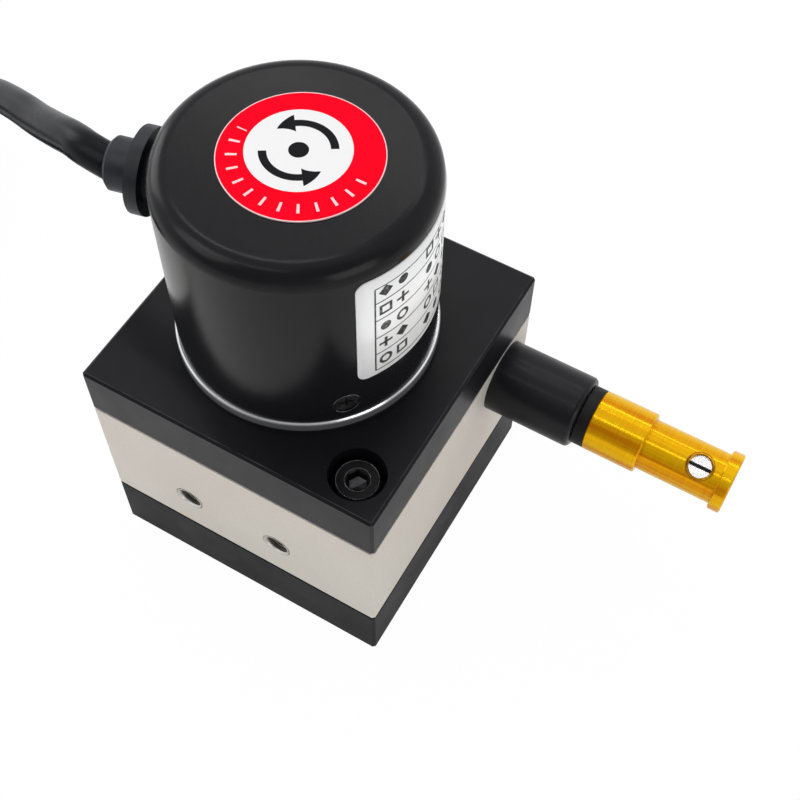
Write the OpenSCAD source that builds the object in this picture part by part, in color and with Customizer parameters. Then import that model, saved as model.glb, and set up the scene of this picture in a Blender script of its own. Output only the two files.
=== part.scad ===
// Draw wire encoder: a spring-loaded wire drum in a square three-layer housing,
// read by a round encoder on top, with a cable that leaves the encoder's side.
// Millimetres, +Z up, origin at the middle of the base plate's underside,
// wire outlet towards +X, side mounting holes towards -Y.

/* [Housing] */
// Side of the square footprint that the three layers share
body_size = 50; // [50:0.5:56]
// Height of the base plate, which holds the power spring
base_h = 12.5; // [12.5:0.5:16]
// Height of the drum housing in the middle
drum_housing_h = 23.5; // [23.5:0.5:28]
// Height of the cover plate, which carries the encoder
cover_h = 9.5; // [9.5:0.5:12]
// Distance of the drum's axis behind the middle of the footprint
axis_offset = 1; // [0:0.25:1.5]
// Chamfer of the upright corners
corner_chamfer = 0.4; // [0.2:0.1:1]
// Chamfer of the other edges
edge_chamfer = 0.4; // [0.2:0.1:0.6]
// Distance of the corner screws from the middle of the footprint, along X and along Y
corner_screw_place = 19; // [18.5:0.25:19.5]
// Distance between the two side mounting holes
side_hole_spacing = 16.5; // [14:0.5:18]
// Height of the side mounting holes above the drum housing's underside
side_hole_rise = 8.5; // [6:0.5:9]
// Depth of the side mounting holes
side_hole_depth = 8; // [6:0.5:8]

/* [Wire and drum] */
// Length of wire that one turn of the drum takes up
turn_length = 100; // [90:5:100]
// Turns of wire on the drum, five on each side of the wire's own plane
wound_turns = 10; // [6:2:10]
// Diameter of the draw wire
wire_d = 0.6; // [0.4:0.1:0.6]
// Turns of the power spring at rest
spring_turns = 9; // [6:1:9]

/* [Wire outlet and wire end] */
// Outside diameter of the wire outlet
outlet_d = 12; // [11:0.5:12]
// Length of the wire outlet outside the housing
outlet_len = 14.7; // [12:0.1:18]
// Thickness of the rubber buffer ring
buffer_t = 1.85; // [1.5:0.05:3]
// Diameter of the wire end's shoulder
shoulder_d = 10; // [9:0.5:11]
// Length of the wire end's shoulder
shoulder_len = 8.9; // [7:0.1:12]
// Diameter of the wire end's neck
neck_d = 8.4; // [8:0.1:8.6]
// Length of the neck between the shoulder and the flange
neck_len = 12.5; // [11:0.5:16]
// Thickness of the flange at the tip
tip_flange_t = 2; // [1.5:0.1:3]
// Angle of the clamp screw from straight up, towards -Y
clamp_angle = 26; // [0:1:45]

/* [Encoder] */
// Outside diameter of the encoder's cap
cap_d = 39; // [38:0.5:40]
// Height of the cap
cap_h = 33.5; // [33.5:0.5:40]
// Radius of the cap's rounded top edge
cap_edge_r = 3; // [2:0.5:4]
// Wall of the cap
cap_wall = 1.5; // [1.2:0.1:1.6]
// Height of the bare rim under the cap
rim_h = 2.5; // [2:0.1:3]
// Direction of the first cap screw round the drum's axis
cap_screw_angle = -41; // [-60:1:-20]
// Direction that the cable leaves in, round the drum's axis
gland_angle = 193.5; // [180:0.5:200]
// Height of the cable above the cap's lower edge
gland_rise = 24; // [24:0.5:27]

/* [Labels] */
// Diameter of the round sticker on the cap
sticker_d = 22.2; // [18:0.2:26]
// Angle round the cap that the side label covers
label_arc = 130; // [90:5:150]
// Height of the side label
label_h = 21.5; // [18:0.5:22]

/* [Cable] */
// Diameter of the cable
cable_d = 5.2; // [5:0.1:5.5]
// Distance between the layers and turns of the cable's coil
coil_pitch = 5.5; // [5.5:0.1:6]

/* [Hidden] */
$fn = 96;

// Fits, as gaps on the radius or on one side
seat_gap = 0.02;
running_gap = 0.03;
clear_gap = 0.5;
hole_play = 0.2;
cut_extra = 1;

// Threads: radius of the shank and of the tapping hole
m4_r = 2;
m5_tap_r = 2.1;
m3_r = 1.5;
m2_r = 1;
tap_countersink = 0.4;

// Heights of the layers
housing_z = base_h;
cover_z = housing_z + drum_housing_h;
rim_z = cover_z + cover_h;
cap_z = rim_z + rim_h;
cap_top_z = cap_z + cap_h;
half_body = body_size / 2;

// Spring pocket in the base plate
pocket_floor = 3;
pocket_r = 19.5;
spring_cover_t = 0.6;
spring_ledge = 1;
spring_cover_r = pocket_r + spring_ledge;
spring_strip_t = 0.35;
spring_inner_r = 6.2;
spring_wall_gap = 0.1;
spring_outer_r = pocket_r - spring_strip_t / 2 - spring_wall_gap;
spring_steps = 24;
spring_top_gap = 0.4;
spring_top_z = base_h - spring_cover_t - spring_top_gap;
arbor_bottom_z = pocket_floor + clear_gap;
arbor_r = 5;
arbor_slot_w = 1;
arbor_slot_depth = 1.2;
shaft_passage_r = 5.6;

// Shaft and bearings
shaft_r = 3;
shaft_flat = 0.4;
shaft_tip_chamfer = 0.4;
bearing_r = 6.5;
bearing_w = 5;
inner_ring_r = 4.2;
outer_ring_inner_r = 5.3;
ball_track_r = (inner_ring_r + outer_ring_inner_r) / 2;
ball_groove_r = 1;
ball_r = ball_groove_r - running_gap;
balls_per_bearing = 8;

// Drum: the wire's centre line winds at wire_pitch_r
wire_pitch_r = turn_length / (2 * PI);
wire_r = wire_d / 2;
half_turns = wound_turns / 2;
winding_pitch = 1.1 * wire_d;
middle_gap = 2 * wire_d;
winding_side_gap = 0.3;
winding_half_w = middle_gap + (half_turns - 1) * winding_pitch + wire_r + winding_side_gap;
drum_flange_t = 0.8;
drum_flange_height = 3.3;
drum_flange_r = wire_pitch_r + drum_flange_height;
drum_h = 2 * (winding_half_w + drum_flange_t);
drum_gap_below = 0.5;
drum_gap_above = 1;
cavity_r = drum_flange_r + clear_gap;
web_z = cover_z - drum_gap_above - drum_h - drum_gap_below;
drum_z = web_z + drum_gap_below;
wire_z = drum_z + drum_h / 2;
drum_top_z = drum_z + drum_h;
drum_wall = 3.3;
drum_hollow_r = wire_pitch_r - wire_r - drum_wall;
drum_hub_r = 7;
drum_web_t = 2;
set_screw_len = drum_hub_r - shaft_r + shaft_flat;
lower_bearing_z = web_z - bearing_w;
retaining_t = 0.6;
retaining_r = 5;

// Encoder flange: its spigot sits in the cover plate's bore
spigot_r = 10;
spigot_len = 7.5;
main_bearing_z = rim_z - spigot_len;
bearing_shoulder_r = 5.5;
rim_step = 0.4;
rim_r = cap_d / 2 + rim_step;
rim_chamfer = 0.3;
flange_body_h = 9;
flange_body_r = cap_d / 2 - cap_wall;
flange_top_z = cap_z + flange_body_h;
top_bearing_z = flange_top_z - bearing_w;
seal_r = 0.8;
seal_rise = 1.2;
seal_z = cap_z + seal_rise;
flange_screw_ring_r = 14.5;
flange_screw_len = 8;
m3_head_r = 2.75;
m3_head_h = 3;
m3_hex_flats = 2.5;
set_screw_flats = 1.5;
m3_head_recess = 0.3;
flange_screw_angles = [0, 120, 240];
cap_screw_rise = 3.5;
cap_screw_z = cap_z + cap_screw_rise;
cap_screw_head_r = 1.8;
cap_screw_head_h = 1;
cap_screw_len = 4.5;
cap_screw_sink = 0.3;
cross_recess = [1.8, 0.4, 1.2];

// Cap screw sizes of the M4 housing screws
m4_head_r = 3.5;
m4_head_h = 4;
m4_hex_flats = 3;
m4_hex_depth = 2;
counterbore_r = 4.3;
head_below_top = 1.5;
counterbore_depth = m4_head_h + head_below_top;
housing_screw_len = 35;
base_screw_len = 16;
base_head_recess = 0.4;
// Depth of the round bevel at the mouth of a hexagon socket
socket_bevel = 0.4;
screw_end_room = 0.5;
base_screw_hole_depth = base_screw_len - (base_h - m4_head_h - base_head_recess) + screw_end_room;

// Wire outlet
outlet_r = outlet_d / 2;
outlet_end_x = half_body + outlet_len;
outlet_thread_r = 5;
outlet_thread_len = 8.8;
outlet_edge_r = 0.8;
outlet_bore_r = 1.5;
wire_passage_r = 2;
guide_r = 3;
guide_len = 4;
guide_set_back = 0.2;
wire_play = 0.1;
guide_bore_r = wire_r + wire_play;
felt_len = 2.8;
felt_bore_r = wire_r + wire_play / 2;

// Wire end: the buffer ring and the fitting behind it
rest_gap = 0.2;
buffer_x = outlet_end_x + rest_gap;
shoulder_x = buffer_x + buffer_t;
neck_x = shoulder_x + shoulder_len;
tip_flange_x = neck_x + neck_len;
tip_x = tip_flange_x + tip_flange_t;
buffer_inset = 0.05;
buffer_r = shoulder_d / 2 - buffer_inset;
spur_r = 2;
spur_len = 1.4;
tip_flange_r = buffer_r;
fitting_edge = 0.2;
ferrule_r = 0.8;
ferrule_len = 6;
ferrule_back = 2.5;
ferrule_x = tip_x - ferrule_back - ferrule_len;
wire_hole_r = wire_r + wire_play;
clamp_back = 3.4;
clamp_x = tip_flange_x - clamp_back;
clamp_hole_r = m4_r;
clamp_rim = 0.2;
clamp_screw_below = 1;
clamp_slot_w = 0.6;
clamp_slot_depth = 0.8;
wire_start_x = 3;

// Inside of the encoder
hub_r = 6;
hub_h = 3;
hub_gap = 1;
disc_r = 11;
disc_t = 0.6;
hub_z = flange_top_z + hub_gap;
disc_z = hub_z + hub_h;
shaft_end_room = 0.6;
shaft_bottom_z = pocket_floor + shaft_end_room;
shaft_top_z = disc_z + disc_t + shaft_end_room;
pillar_h = 7;
pillar_r = 1.6;
pillar_ring_r = 13.3;
pillar_angles = [30, 150, 270];
pillar_stud_len = 2.5;
pillar_hole_depth = 4;
board_z = flange_top_z + pillar_h;
board_t = 1.6;
board_r = 15;
board_top_z = board_z + board_t;
board_screw_head_r = 1.9;
board_screw_head_h = 1.2;
board_screw_len = 5;
head_w = 8;
head_inner_y = 7.5;
head_outer_y = 13.4;
head_bottom = 1;
head_slot_gap = 0.4;
socket_size = [5, 8, 3.4];
socket_place = 6;
chip_places = [[3, 5], [5, -3], [0, 11], [10, 2], [-5, -9]];
chip_sizes = [[5, 5, 1], [4, 5, 1.4], [3, 1.6, 0.8], [1.6, 3, 0.8], [3, 1.6, 0.8]];

// Cap and cable gland
cap_r = cap_d / 2;
cap_top_t = 2;
gland_z = cap_z + gland_rise;
gland_neck_r = 4.5;
gland_flange_r = 6.25;
gland_groove_w = 1.3;
gland_flange_t = 1.9;
gland_flange_in = cap_r + gland_groove_w;
gland_flange_out = gland_flange_in + gland_flange_t;
gland_boss_wall = 1.25;
gland_boss_len = 4.3;
gland_boss_r = cable_d / 2 + gland_boss_wall;
gland_end = gland_flange_out + gland_boss_len;
gland_boss_edge = 0.5;
gland_nut_flats = 9.8;
gland_nut_t = 1.5;
gland_nut_gap = 1;
gland_nut_out = cap_r - cap_wall - gland_nut_gap;
inner_end_place = 12;
inner_end_bottom_z = board_top_z + socket_size[2];
lead_r = 0.45;
inner_lead_r = 0.225;
inner_lead_rows = [-1.05, -0.35, 0.35, 1.05];

// Labels
label_t = 0.15;
sticker_t = 0.2;
sticker_place = [0.5, 0.7];
label_start = -36;
label_rise = 8.3;

// The cable's route from the gland down to the floor, and from the coil to its end
cable_r = cable_d / 2;
cable_sides = 10;
cable_straight = 0.6;
tie_t = 0.8;
tie_w = 8;
tie_angle = 200;
coil_center = [-122, -6];
coil_layers = 2;
coil_rows = 3;
coil_outer_r = 34.5;
coil_solid_outer_r = coil_outer_r + cable_r;
coil_solid_inner_r = coil_outer_r - (coil_rows - 1) * coil_pitch - cable_r;
coil_h = (coil_layers - 1) * coil_pitch + cable_d;
coil_edge_r = 2;
gland_end_place = [
    gland_end * cos(gland_angle) - axis_offset,
    gland_end * sin(gland_angle),
    gland_z];
gland_way = [cos(gland_angle), sin(gland_angle), 0];
function coil_center_at(x, y, z) = [coil_center[0] + x, coil_center[1] + y, z];
coil_entry = coil_center_at(0, coil_outer_r, tie_t + cable_r);
coil_way = [-1, 0, 0];
cable_route = [
    gland_end_place,
    gland_end_place + cable_straight * gland_way,
    [-31.9, -6, 71.9],
    [-35.7, -4.5, 70.3],
    [-41.5, -2.2, 67],
    [-47.9, 0.6, 63.2],
    [-55, 3.7, 59.5],
    [-62.7, 6.9, 55.1],
    [-70, 10.4, 49.3],
    [-76.5, 14, 42],
    [-83, 18, 33],
    [-89.5, 21.6, 23.8],
    [-96, 24.5, 15.5],
    [-104, 27, 9],
    [-113, 28.3, 4.9],
    coil_entry];
// The far end comes off the coil's top layer, towards +X, and lies down on the floor
tail_turn = 235;
tail_start_r = 28.5;
tail_start = coil_center_at(
    tail_start_r * cos(tail_turn), tail_start_r * sin(tail_turn), tie_t + cable_r + coil_pitch);
tail_start_way = [-sin(tail_turn), cos(tail_turn), 0];
tail_end = [-88, -41.4, cable_r];
tail_route = [
    tail_start,
    [-131, -33.8, 9.2],
    [-123, -37.4, 9.3],
    [-115, -39.8, 9.1],
    [-107, -41.2, 7.8],
    [-100, -41.7, 5.3],
    [-94, -41.6, 3.4],
    tail_end];
tail_way = [1, 0, 0];
sleeve_len = 10;
lead_start_gap = 0.2;
lead_pitch = 1.02;
lead_count = 5;
lead_len = 20;
lead_fan = 3;
lead_drop = 2.4;
lead_start_z = 1.4;
bared_len = 5;
bared_r = 0.3;

// ---------- helpers ----------

// Moves its children onto the drum's axis
module at_axis(z = 0) {
    translate([-axis_offset, 0, z]) children();
}

// A plate of the square footprint with chamfered corners and edges
module slab(h, edge) {
    s = half_body;
    c = corner_chamfer;
    difference() {
        linear_extrude(h) polygon([
            [s, c - s], [s, s - c], [s - c, s], [c - s, s],
            [-s, s - c], [-s, c - s], [c - s, -s], [s - c, -s]]);
        for (side = [0:3], z = [0, h])
            rotate(90 * side) translate([s, 0, z]) edge_bar(body_size, edge);
        for (side = [0:3], z = [0, h])
            rotate(90 * side + 45) translate([(2 * s - c) / sqrt(2), 0, z]) edge_bar(4 * c, edge);
    }
}

// The bar that cuts a chamfer of size edge along Y
module edge_bar(length, edge) {
    side = edge * sqrt(2);
    rotate([0, 45, 0]) cube([side, length + cut_extra, side], center = true);
}

// A round hole of radius r from z down to z - depth, open at the top
module hole_down(r, depth) {
    translate([0, 0, -depth]) cylinder(r = r, h = depth + cut_extra);
}

// A round hole of radius r from z up, open at the bottom
module hole_up(r, depth) {
    translate([0, 0, -cut_extra]) cylinder(r = r, h = depth + cut_extra);
}

// A flat ring
module ring(outer, inner, h) {
    difference() {
        cylinder(r = outer, h = h);
        translate([0, 0, -cut_extra]) cylinder(r = inner, h = h + 2 * cut_extra);
    }
}

// A six-sided bar of a width across its flats
module hexagon(flats, h) {
    cylinder(r = flats / sqrt(3), h = h, $fn = 6);
}

// A socket head screw that stands on its head's underside, shank down
module socket_screw(r, length, head_r, head_h, hex_flats, hex_depth) {
    edge = head_r / 10;
    difference() {
        union() {
            cylinder(r = head_r, h = head_h - edge);
            translate([0, 0, head_h - edge]) cylinder(r1 = head_r, r2 = head_r - edge, h = edge);
            translate([0, 0, -length]) cylinder(r = r - seat_gap, h = length + edge);
        }
        translate([0, 0, head_h - hex_depth]) hexagon(hex_flats, hex_depth + cut_extra);
        translate([0, 0, head_h - socket_bevel]) cylinder(
            r1 = hex_flats / 2,
            r2 = hex_flats / 2 + socket_bevel + cut_extra,
            h = socket_bevel + cut_extra);
    }
}

// The two corners on one diagonal: 1 for front right and back left, -1 for the others
module on_diagonal(way) {
    for (side = [-1, 1])
        translate([side * corner_screw_place, -side * way * corner_screw_place, 0]) children();
}

// The lower ends of the three bearings
module at_bearings() {
    for (z = [lower_bearing_z, main_bearing_z, top_bearing_z]) at_axis(z) children();
}

// Children's +Z runs along the wire, towards +X
module along_wire(x) {
    translate([x, wire_pitch_r, wire_z]) rotate([0, 90, 0]) children();
}

// Children's +Z points out of the cap at an angle round the drum's axis
module out_of_cap(angle, z) {
    at_axis(z) rotate([0, 0, angle]) rotate([0, 90, 0]) children();
}

// ---------- base, spring and drum ----------

module base_plate() {
    color([0.13, 0.13, 0.14]) difference() {
        slab(base_h, edge_chamfer);
        at_axis(base_h) hole_down(pocket_r, base_h - pocket_floor);
        at_axis(base_h) hole_down(spring_cover_r, spring_cover_t);
        on_diagonal(1) translate([0, 0, base_h])
            hole_down(m4_r, housing_screw_end_depth() + screw_end_room);
        on_diagonal(-1) hole_up(counterbore_r, m4_head_h + base_head_recess);
        on_diagonal(-1) hole_up(m4_r + hole_play, base_h + cut_extra);
    }
}

// How far the housing screws reach below the drum housing
function housing_screw_end_depth() =
    housing_screw_len - (cover_h - counterbore_depth) - drum_housing_h;

// Radius of the spring's centre line after some degrees
function spring_r(angle) =
    spring_inner_r + (spring_outer_r - spring_inner_r) * angle / (360 * spring_turns);

module power_spring() {
    angles = [for (i = [0:spring_turns * spring_steps]) i * 360 / spring_steps];
    outer = [for (a = angles) (spring_r(a) + spring_strip_t / 2) * [cos(a), sin(a)]];
    inner = [for (i = [len(angles) - 1:-1:0])
        (spring_r(angles[i]) - spring_strip_t / 2) * [cos(angles[i]), sin(angles[i])]];
    color([0.35, 0.36, 0.4]) at_axis(pocket_floor)
        linear_extrude(spring_top_z - pocket_floor) polygon(concat(outer, inner));
}

module spring_cover() {
    color([0.6, 0.6, 0.62]) at_axis(base_h - spring_cover_t)
        ring(spring_cover_r - seat_gap, shaft_passage_r, spring_cover_t);
}

module spring_arbor() {
    color([0.72, 0.58, 0.28]) at_axis(arbor_bottom_z) difference() {
        ring(arbor_r, shaft_r + seat_gap, spring_top_z - arbor_bottom_z);
        translate([arbor_r - arbor_slot_depth, -arbor_slot_w / 2, -cut_extra])
            cube([2 * arbor_slot_depth, arbor_slot_w, base_h]);
    }
}

module drum_housing() {
    color([0.77, 0.75, 0.72]) difference() {
        translate([0, 0, housing_z]) slab(drum_housing_h, edge_chamfer / 2);
        at_axis(cover_z) hole_down(cavity_r, cover_z - web_z);
        at_axis(web_z) hole_down(bearing_r, bearing_w);
        at_axis(web_z) hole_down(shaft_passage_r, drum_housing_h);
        on_diagonal(1) translate([0, 0, cover_z])
            hole_down(m4_r + hole_play, drum_housing_h + cut_extra);
        on_diagonal(-1) translate([0, 0, housing_z]) hole_up(m4_r, base_screw_hole_depth);
        side_holes();
        along_wire(half_body - outlet_thread_len)
            cylinder(r = outlet_thread_r, h = outlet_thread_len + cut_extra);
        along_wire(0) cylinder(r = wire_passage_r, h = half_body);
    }
}

// The two tapped holes that fasten the encoder, with small countersinks
module side_holes() {
    for (side = [-1, 1])
        translate([side * side_hole_spacing / 2 - axis_offset, -half_body, housing_z + side_hole_rise])
            rotate([90, 0, 0]) {
                translate([0, 0, -side_hole_depth])
                    cylinder(r = m5_tap_r, h = side_hole_depth + cut_extra);
                translate([0, 0, -tap_countersink])
                    cylinder(
                        r1 = m5_tap_r,
                        r2 = m5_tap_r + 2 * tap_countersink,
                        h = 2 * tap_countersink);
            }
}

// A ring that a groove for the balls runs round
module grooved_ring(outer, inner) {
    difference() {
        ring(outer, inner, bearing_w);
        translate([0, 0, bearing_w / 2]) rotate_extrude()
            translate([ball_track_r, 0]) circle(r = ball_groove_r);
    }
}

module bearing_outer_rings() {
    color([0.75, 0.76, 0.78]) at_bearings() grooved_ring(bearing_r - seat_gap, outer_ring_inner_r);
}

module bearing_balls() {
    color([0.85, 0.86, 0.88]) at_bearings()
        for (i = [0:balls_per_bearing - 1])
            rotate(i * 360 / balls_per_bearing)
                translate([ball_track_r, 0, bearing_w / 2]) sphere(r = ball_r);
}

module bearing_inner_rings() {
    color([0.75, 0.76, 0.78]) at_bearings() grooved_ring(inner_ring_r, shaft_r + seat_gap);
}

module main_shaft() {
    color([0.8, 0.81, 0.83]) difference() {
        at_axis(shaft_bottom_z) union() {
            cylinder(r1 = shaft_r - shaft_tip_chamfer, r2 = shaft_r, h = shaft_tip_chamfer);
            translate([0, 0, shaft_tip_chamfer])
                cylinder(r = shaft_r, h = shaft_top_z - shaft_bottom_z - 2 * shaft_tip_chamfer);
            translate([0, 0, shaft_top_z - shaft_bottom_z - shaft_tip_chamfer])
                cylinder(r1 = shaft_r, r2 = shaft_r - shaft_tip_chamfer, h = shaft_tip_chamfer);
        }
        at_axis(drum_z) translate([shaft_r - shaft_flat, -shaft_r, 0])
            cube([shaft_r, 2 * shaft_r, drum_h]);
    }
}

module retaining_ring() {
    color([0.3, 0.3, 0.32]) at_axis(lower_bearing_z - retaining_t)
        ring(retaining_r, shaft_r + seat_gap, retaining_t);
}

module wire_drum() {
    color([0.75, 0.75, 0.76]) difference() {
        at_axis(drum_z) union() {
            cylinder(r = drum_flange_r, h = drum_flange_t);
            cylinder(r = wire_pitch_r - wire_r, h = drum_h);
            translate([0, 0, drum_h - drum_flange_t]) cylinder(r = drum_flange_r, h = drum_flange_t);
            translate([0, 0, -drum_gap_below]) cylinder(r = inner_ring_r, h = drum_gap_below);
        }
        difference() {
            at_axis(drum_top_z) hole_down(drum_hollow_r, drum_h - drum_web_t);
            at_axis(drum_z) cylinder(r = drum_hub_r, h = drum_h);
        }
        at_axis(web_z) hole_up(shaft_r + seat_gap, drum_h + 2 * cut_extra);
        at_axis(wire_z) rotate([0, 90, 0]) cylinder(r = m3_r, h = drum_hub_r + cut_extra);
    }
}

module drum_set_screw() {
    color([0.25, 0.25, 0.27]) at_axis(wire_z) rotate([0, 90, 0])
        translate([0, 0, shaft_r - shaft_flat]) difference() {
            cylinder(r = m3_r - seat_gap, h = set_screw_len);
            translate([0, 0, set_screw_len - m3_r]) hexagon(set_screw_flats, m3_r + cut_extra);
        }
}

module wound_wire() {
    color([0.7, 0.71, 0.73])
        for (i = [0:half_turns - 1], way = [-1, 1])
            at_axis(wire_z + way * (middle_gap + i * winding_pitch)) rotate_extrude()
                translate([wire_pitch_r, 0]) circle(r = wire_r);
}

module drum_spacer() {
    color([0.8, 0.81, 0.83]) at_axis(drum_top_z)
        ring(inner_ring_r, shaft_r + seat_gap, main_bearing_z - drum_top_z);
}

// ---------- cover and screws ----------

module cover_plate() {
    color([0.13, 0.13, 0.14]) difference() {
        translate([0, 0, cover_z]) slab(cover_h, edge_chamfer);
        at_axis(rim_z) hole_down(spigot_r, cover_h + cut_extra);
        on_diagonal(1) translate([0, 0, rim_z]) hole_down(counterbore_r, counterbore_depth);
        on_diagonal(1) translate([0, 0, rim_z]) hole_down(m4_r + hole_play, cover_h + cut_extra);
        for (angle = flange_screw_angles)
            at_axis(cover_z) rotate(angle) translate([flange_screw_ring_r, 0, 0]) {
                hole_up(m3_head_r + hole_play, m3_head_recess + m3_head_h);
                hole_up(m3_r + hole_play, cover_h + cut_extra);
            }
    }
}

module housing_screws() {
    color([0.09, 0.09, 0.1]) on_diagonal(1) translate([0, 0, rim_z - counterbore_depth])
        socket_screw(m4_r, housing_screw_len, m4_head_r, m4_head_h, m4_hex_flats, m4_hex_depth);
}

module base_screws() {
    color([0.09, 0.09, 0.1]) on_diagonal(-1) translate([0, 0, base_head_recess + m4_head_h])
        rotate([180, 0, 0])
            socket_screw(m4_r, base_screw_len, m4_head_r, m4_head_h, m4_hex_flats, m4_hex_depth);
}

// ---------- wire outlet and wire end ----------

module wire_outlet() {
    color([0.14, 0.14, 0.15]) difference() {
        union() {
            along_wire(half_body) cylinder(r = outlet_r, h = outlet_len - outlet_edge_r);
            along_wire(outlet_end_x - outlet_edge_r) rotate_extrude() intersection() {
                union() {
                    square([outlet_r - outlet_edge_r, outlet_edge_r]);
                    translate([outlet_r - outlet_edge_r, 0]) circle(r = outlet_edge_r);
                }
                square([outlet_r, outlet_edge_r]);
            }
            along_wire(half_body - outlet_thread_len)
                cylinder(r = outlet_thread_r - seat_gap, h = outlet_thread_len);
        }
        along_wire(half_body - outlet_thread_len - cut_extra)
            cylinder(r = outlet_bore_r, h = outlet_thread_len + outlet_len + 2 * cut_extra);
        along_wire(outlet_end_x - guide_len - felt_len)
            cylinder(r = guide_r, h = guide_len + felt_len + cut_extra);
    }
}

module wiper_felt() {
    color([0.62, 0.6, 0.55]) along_wire(outlet_end_x - guide_len - felt_len)
        ring(guide_r - seat_gap, felt_bore_r, felt_len - guide_set_back);
}

module wire_guide() {
    color([0.92, 0.9, 0.86]) along_wire(outlet_end_x - guide_len - guide_set_back)
        ring(guide_r - seat_gap, guide_bore_r, guide_len);
}

module draw_wire() {
    color([0.7, 0.71, 0.73]) along_wire(wire_start_x)
        cylinder(r = wire_r, h = ferrule_x + ferrule_len - wire_start_x);
}

module buffer_ring() {
    color([0.1, 0.1, 0.11]) along_wire(buffer_x) ring(buffer_r, spur_r + seat_gap, buffer_t);
}

// A cylinder along the wire with a small chamfer on its outer rims
module turned(x, r, length) {
    e = fitting_edge;
    along_wire(x) cylinder(r1 = r - e, r2 = r, h = e);
    along_wire(x + e) cylinder(r = r, h = length - 2 * e);
    along_wire(x + length - e) cylinder(r1 = r, r2 = r - e, h = e);
}

module wire_end_fitting() {
    color([0.92, 0.7, 0.05]) difference() {
        union() {
            turned(shoulder_x, shoulder_d / 2, shoulder_len);
            along_wire(neck_x - cut_extra) cylinder(r = neck_d / 2, h = neck_len + 2 * cut_extra);
            turned(tip_flange_x, tip_flange_r, tip_flange_t);
            along_wire(shoulder_x - spur_len) cylinder(r = spur_r, h = spur_len + cut_extra);
        }
        along_wire(shoulder_x - spur_len - cut_extra)
            cylinder(r = wire_hole_r, h = tip_x - shoulder_x + spur_len + 2 * cut_extra);
        along_wire(ferrule_x) cylinder(r = ferrule_r + seat_gap, h = tip_x - ferrule_x + cut_extra);
        clamp_place(0) cylinder(r = clamp_hole_r, h = shoulder_d);
        clamp_place(neck_d / 2 - clamp_rim)
            cylinder(r1 = clamp_hole_r, r2 = clamp_hole_r + 2 * clamp_rim, h = 2 * clamp_rim);
    }
}

module wire_ferrule() {
    color([0.75, 0.5, 0.35]) along_wire(ferrule_x)
        ring(ferrule_r, wire_r + seat_gap, ferrule_len);
}

// Children's +Z points out of the neck along the clamp screw
module clamp_place(from_axis) {
    translate([clamp_x, wire_pitch_r, wire_z]) rotate([clamp_angle, 0, 0])
        translate([0, 0, from_axis]) children();
}

module clamp_screw() {
    length = neck_d / 2 - clamp_screw_below - ferrule_r - seat_gap;
    color([0.85, 0.83, 0.82]) clamp_place(ferrule_r + seat_gap) difference() {
        cylinder(r = clamp_hole_r - seat_gap, h = length);
        translate([-m4_r - cut_extra, -clamp_slot_w / 2, length - clamp_slot_depth])
            cube([2 * (m4_r + cut_extra), clamp_slot_w, clamp_slot_depth + cut_extra]);
    }
}

// ---------- encoder ----------

module encoder_flange() {
    color([0.78, 0.78, 0.78]) difference() {
        union() {
            at_axis(main_bearing_z) cylinder(r = spigot_r - seat_gap, h = spigot_len + rim_h);
            at_axis(rim_z) cylinder(r = rim_r, h = rim_h - rim_chamfer);
            at_axis(cap_z - rim_chamfer) cylinder(r1 = rim_r, r2 = rim_r - rim_chamfer, h = rim_chamfer);
            at_axis(rim_z) cylinder(r = flange_body_r - seat_gap, h = rim_h + flange_body_h);
        }
        at_axis(main_bearing_z) hole_up(bearing_r, bearing_w);
        at_axis(flange_top_z) hole_down(bearing_r, bearing_w);
        at_axis(main_bearing_z) cylinder(r = bearing_shoulder_r, h = flange_top_z - main_bearing_z);
        at_axis(seal_z) rotate_extrude() translate([flange_body_r, 0]) circle(r = seal_r);
        for (angle = flange_screw_angles)
            at_axis(rim_z) rotate(angle) translate([flange_screw_ring_r, 0, 0])
                hole_up(m3_r, flange_screw_len);
        for (angle = pillar_angles)
            at_axis(flange_top_z) rotate(angle) translate([pillar_ring_r, 0, 0])
                hole_down(m2_r, pillar_stud_len + screw_end_room);
        at_cap_screws() cylinder(r = m2_r, h = cap_r);
    }
}

module flange_screws() {
    color([0.5, 0.5, 0.52])
        for (angle = flange_screw_angles)
            at_axis(cover_z + m3_head_recess + m3_head_h) rotate(angle)
                translate([flange_screw_ring_r, 0, 0]) rotate([180, 0, 0])
                    socket_screw(m3_r, flange_screw_len, m3_head_r, m3_head_h, m3_hex_flats, m3_head_h / 2);
}

module cap_seal() {
    color([0.06, 0.06, 0.06]) at_axis(seal_z) rotate_extrude()
        translate([flange_body_r - seal_r / 2, 0]) circle(r = seal_r / 2 - seat_gap);
}

// Places at the three cap screws, from the screws' inner ends outwards
module at_cap_screws() {
    for (turn = [0, 120, 240])
        out_of_cap(cap_screw_angle + turn, cap_screw_z)
            translate([0, 0, cap_r - cap_screw_sink - cap_screw_len]) children();
}

module cap_screws() {
    shank = cap_screw_len - cap_screw_head_h;
    color([0.08, 0.08, 0.09]) at_cap_screws() difference() {
        union() {
            cylinder(r = m2_r - seat_gap, h = shank);
            translate([0, 0, shank])
                cylinder(r1 = m2_r - seat_gap, r2 = cap_screw_head_r, h = cap_screw_head_h);
        }
        for (turn = [0, 90])
            translate([0, 0, cap_screw_len]) rotate(turn) cube(cross_recess, center = true);
    }
}

module disc_hub() {
    color([0.75, 0.6, 0.3]) at_axis(hub_z) difference() {
        union() {
            cylinder(r = hub_r, h = hub_h);
            translate([0, 0, -hub_gap]) cylinder(r = inner_ring_r, h = hub_gap);
        }
        translate([0, 0, -hub_gap]) hole_up(shaft_r + seat_gap, hub_h + hub_gap + cut_extra);
    }
}

module code_disc() {
    color([0.6, 0.66, 0.7, 0.6]) at_axis(disc_z) ring(disc_r, shaft_r + seat_gap, disc_t);
}

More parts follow.
